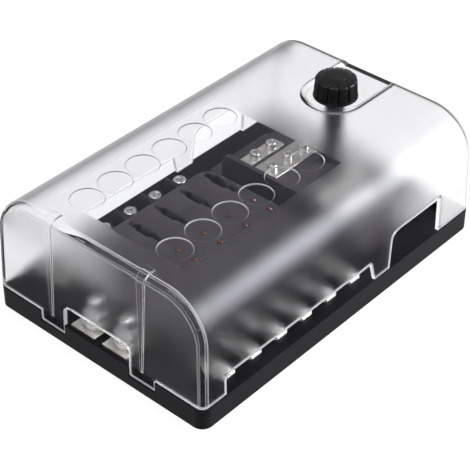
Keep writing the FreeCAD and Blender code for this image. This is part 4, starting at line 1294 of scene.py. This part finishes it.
def add_lamp(name, place, target, size, power):
    """A square area lamp that looks at the target."""
    lamp = bpy.data.lights.new(name, "AREA")
    lamp.shape = "RECTANGLE"
    lamp.size = size[0]
    lamp.size_y = size[1]
    lamp.energy = power
    lamp.cycles.max_bounces = 4
    thing = bpy.data.objects.new(name, lamp)
    bpy.context.scene.collection.objects.link(thing)
    right, up, back = aim(place, target)
    thing.matrix_world = placed(right, up, back, place)


class HOLDER_OT_stage(bpy.types.Operator):
    """Set up the camera, the pale floor and the soft light"""
    bl_idname = "fuse_holder.stage"
    bl_label = "Stage"

    def execute(self, context):
        settings = settings_of(context).stage
        a = settings.azimuth
        e = settings.elevation
        target = np.array(settings.target)
        away = np.array((math.sin(a) * math.cos(e), -math.cos(a) * math.cos(e), math.sin(e)))
        place = target + settings.distance * away
        right, up, back = aim(place, target)
        c = math.cos(settings.roll)
        s = math.sin(settings.roll)
        right, up = right * c + up * s, up * c - right * s
        camera = bpy.data.cameras.new("camera")
        camera.lens = settings.lens
        camera.sensor_width = 36.0
        camera.clip_end = 20.0
        viewer = bpy.data.objects.new("camera", camera)
        context.scene.collection.objects.link(viewer)
        viewer.matrix_world = placed(right, up, back, place)
        context.scene.camera = viewer
        self.floor(context, settings)
        self.sky(context, settings)
        add_lamp("overhead", (-0.45, 0.05, 1.1), (0.0, 0.0, 0.03), (0.9, 0.8), settings.key)
        add_lamp("side", (0.60, -0.69, 0.44), (0.0, 0.0, 0.04), (0.5, 0.40), settings.band)
        context.scene.view_settings.view_transform = "Standard"
        return {"FINISHED"}

    def floor(self, context, settings):
        """A wide pale floor that keeps the object's shadow. It gives off light to the camera, and 0.95 of it
        to rays that were mirrored or passed the cover, but not to those that did both."""
        x, y = np.meshgrid(np.linspace(-3, 3, 5), np.linspace(-3, 3, 5), indexing="ij")
        mesh = bpy.data.meshes.new("floor")
        points = np.stack([x, y, 0 * x], axis=-1).reshape(-1, 3)
        mesh.from_pydata(points.tolist(), [], lattice(5, 5).reshape(-1, 4).tolist())
        floor = bpy.data.objects.new("floor", mesh)
        context.scene.collection.objects.link(floor)
        paint = new_material("floor_paper")
        matt = paint.node("ShaderNodeBsdfDiffuse", {}, {"Color": solid([settings.paper] * 3)})
        path = paint.node("ShaderNodeLightPath", out="Is Camera Ray")
        bent = path.out("Is Glossy Ray").most(path.out("Is Transmission Ray"))
        both = path.out("Glossy Depth").least(path.out("Transmission Depth")).above(0.5)
        seen = path.most(0.95 * bent * (1 - both))
        white = (1.0, 1.0, 1.0, 1.0)
        glow = paint.node("ShaderNodeEmission", {}, {"Color": white, "Strength": settings.shine * seen})
        mesh.materials.append(paint.finish(paint.node("ShaderNodeAddShader", {}, {0: matt, 1: glow})))

    def sky(self, context, settings):
        """Even light from all round: white to the camera, dimmer in mirrored rays and through the cover."""
        world = bpy.data.worlds.new("studio")
        context.scene.world = world
        paint = Paint(world)
        path = paint.node("ShaderNodeLightPath", out="Is Camera Ray")
        bent = path.out("Is Glossy Ray").most(path.out("Is Transmission Ray"))
        strength = settings.sky * (1 - path - bent) + settings.mirrored * bent + 1.0 * path
        light = paint.node("ShaderNodeBackground", {}, {"Color": (1.0, 1.0, 1.0, 1.0), "Strength": strength})
        paint.node("ShaderNodeOutputWorld", {}, {"Surface": light})


class HOLDER_PT_panel(bpy.types.Panel):
    """The steps, in order"""
    bl_idname = "HOLDER_PT_panel"
    bl_label = "Fuse holder"
    bl_space_type = "VIEW_3D"
    bl_region_type = "UI"
    bl_category = "Fuse holder"

    def draw(self, context):
        for step in STEPS:
            self.layout.operator(step.bl_idname)
        for part in ("cover", "moulding", "metal", "knob", "stage"):
            group = getattr(settings_of(context), part)
            box = self.layout.box()
            box.label(text=part.capitalize())
            for name in group.__annotations__:
                box.prop(group, name)


STEPS = (HOLDER_OT_mouldings, HOLDER_OT_sheet_metal, HOLDER_OT_fasteners, HOLDER_OT_knob, HOLDER_OT_cover,
         HOLDER_OT_stage)
CLASSES = (CoverSettings, MouldingSettings, MetalSettings, KnobSettings, StageSettings, FuseHolderSettings,
           *STEPS, HOLDER_PT_panel)


def register():
    """Register the classes and the scene's settings."""
    for kind in CLASSES:
        bpy.utils.register_class(kind)
    bpy.types.Scene.fuse_holder = bpy.props.PointerProperty(type=FuseHolderSettings)


def unregister():
    """Undo register."""
    del bpy.types.Scene.fuse_holder
    for kind in reversed(CLASSES):
        bpy.utils.unregister_class(kind)


def main():
    """Run every step."""
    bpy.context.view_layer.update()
    register()
    for step in STEPS:
        group, name = step.bl_idname.split(".")
        getattr(getattr(bpy.ops, group), name)()


if __name__ == "__main__":
    main()
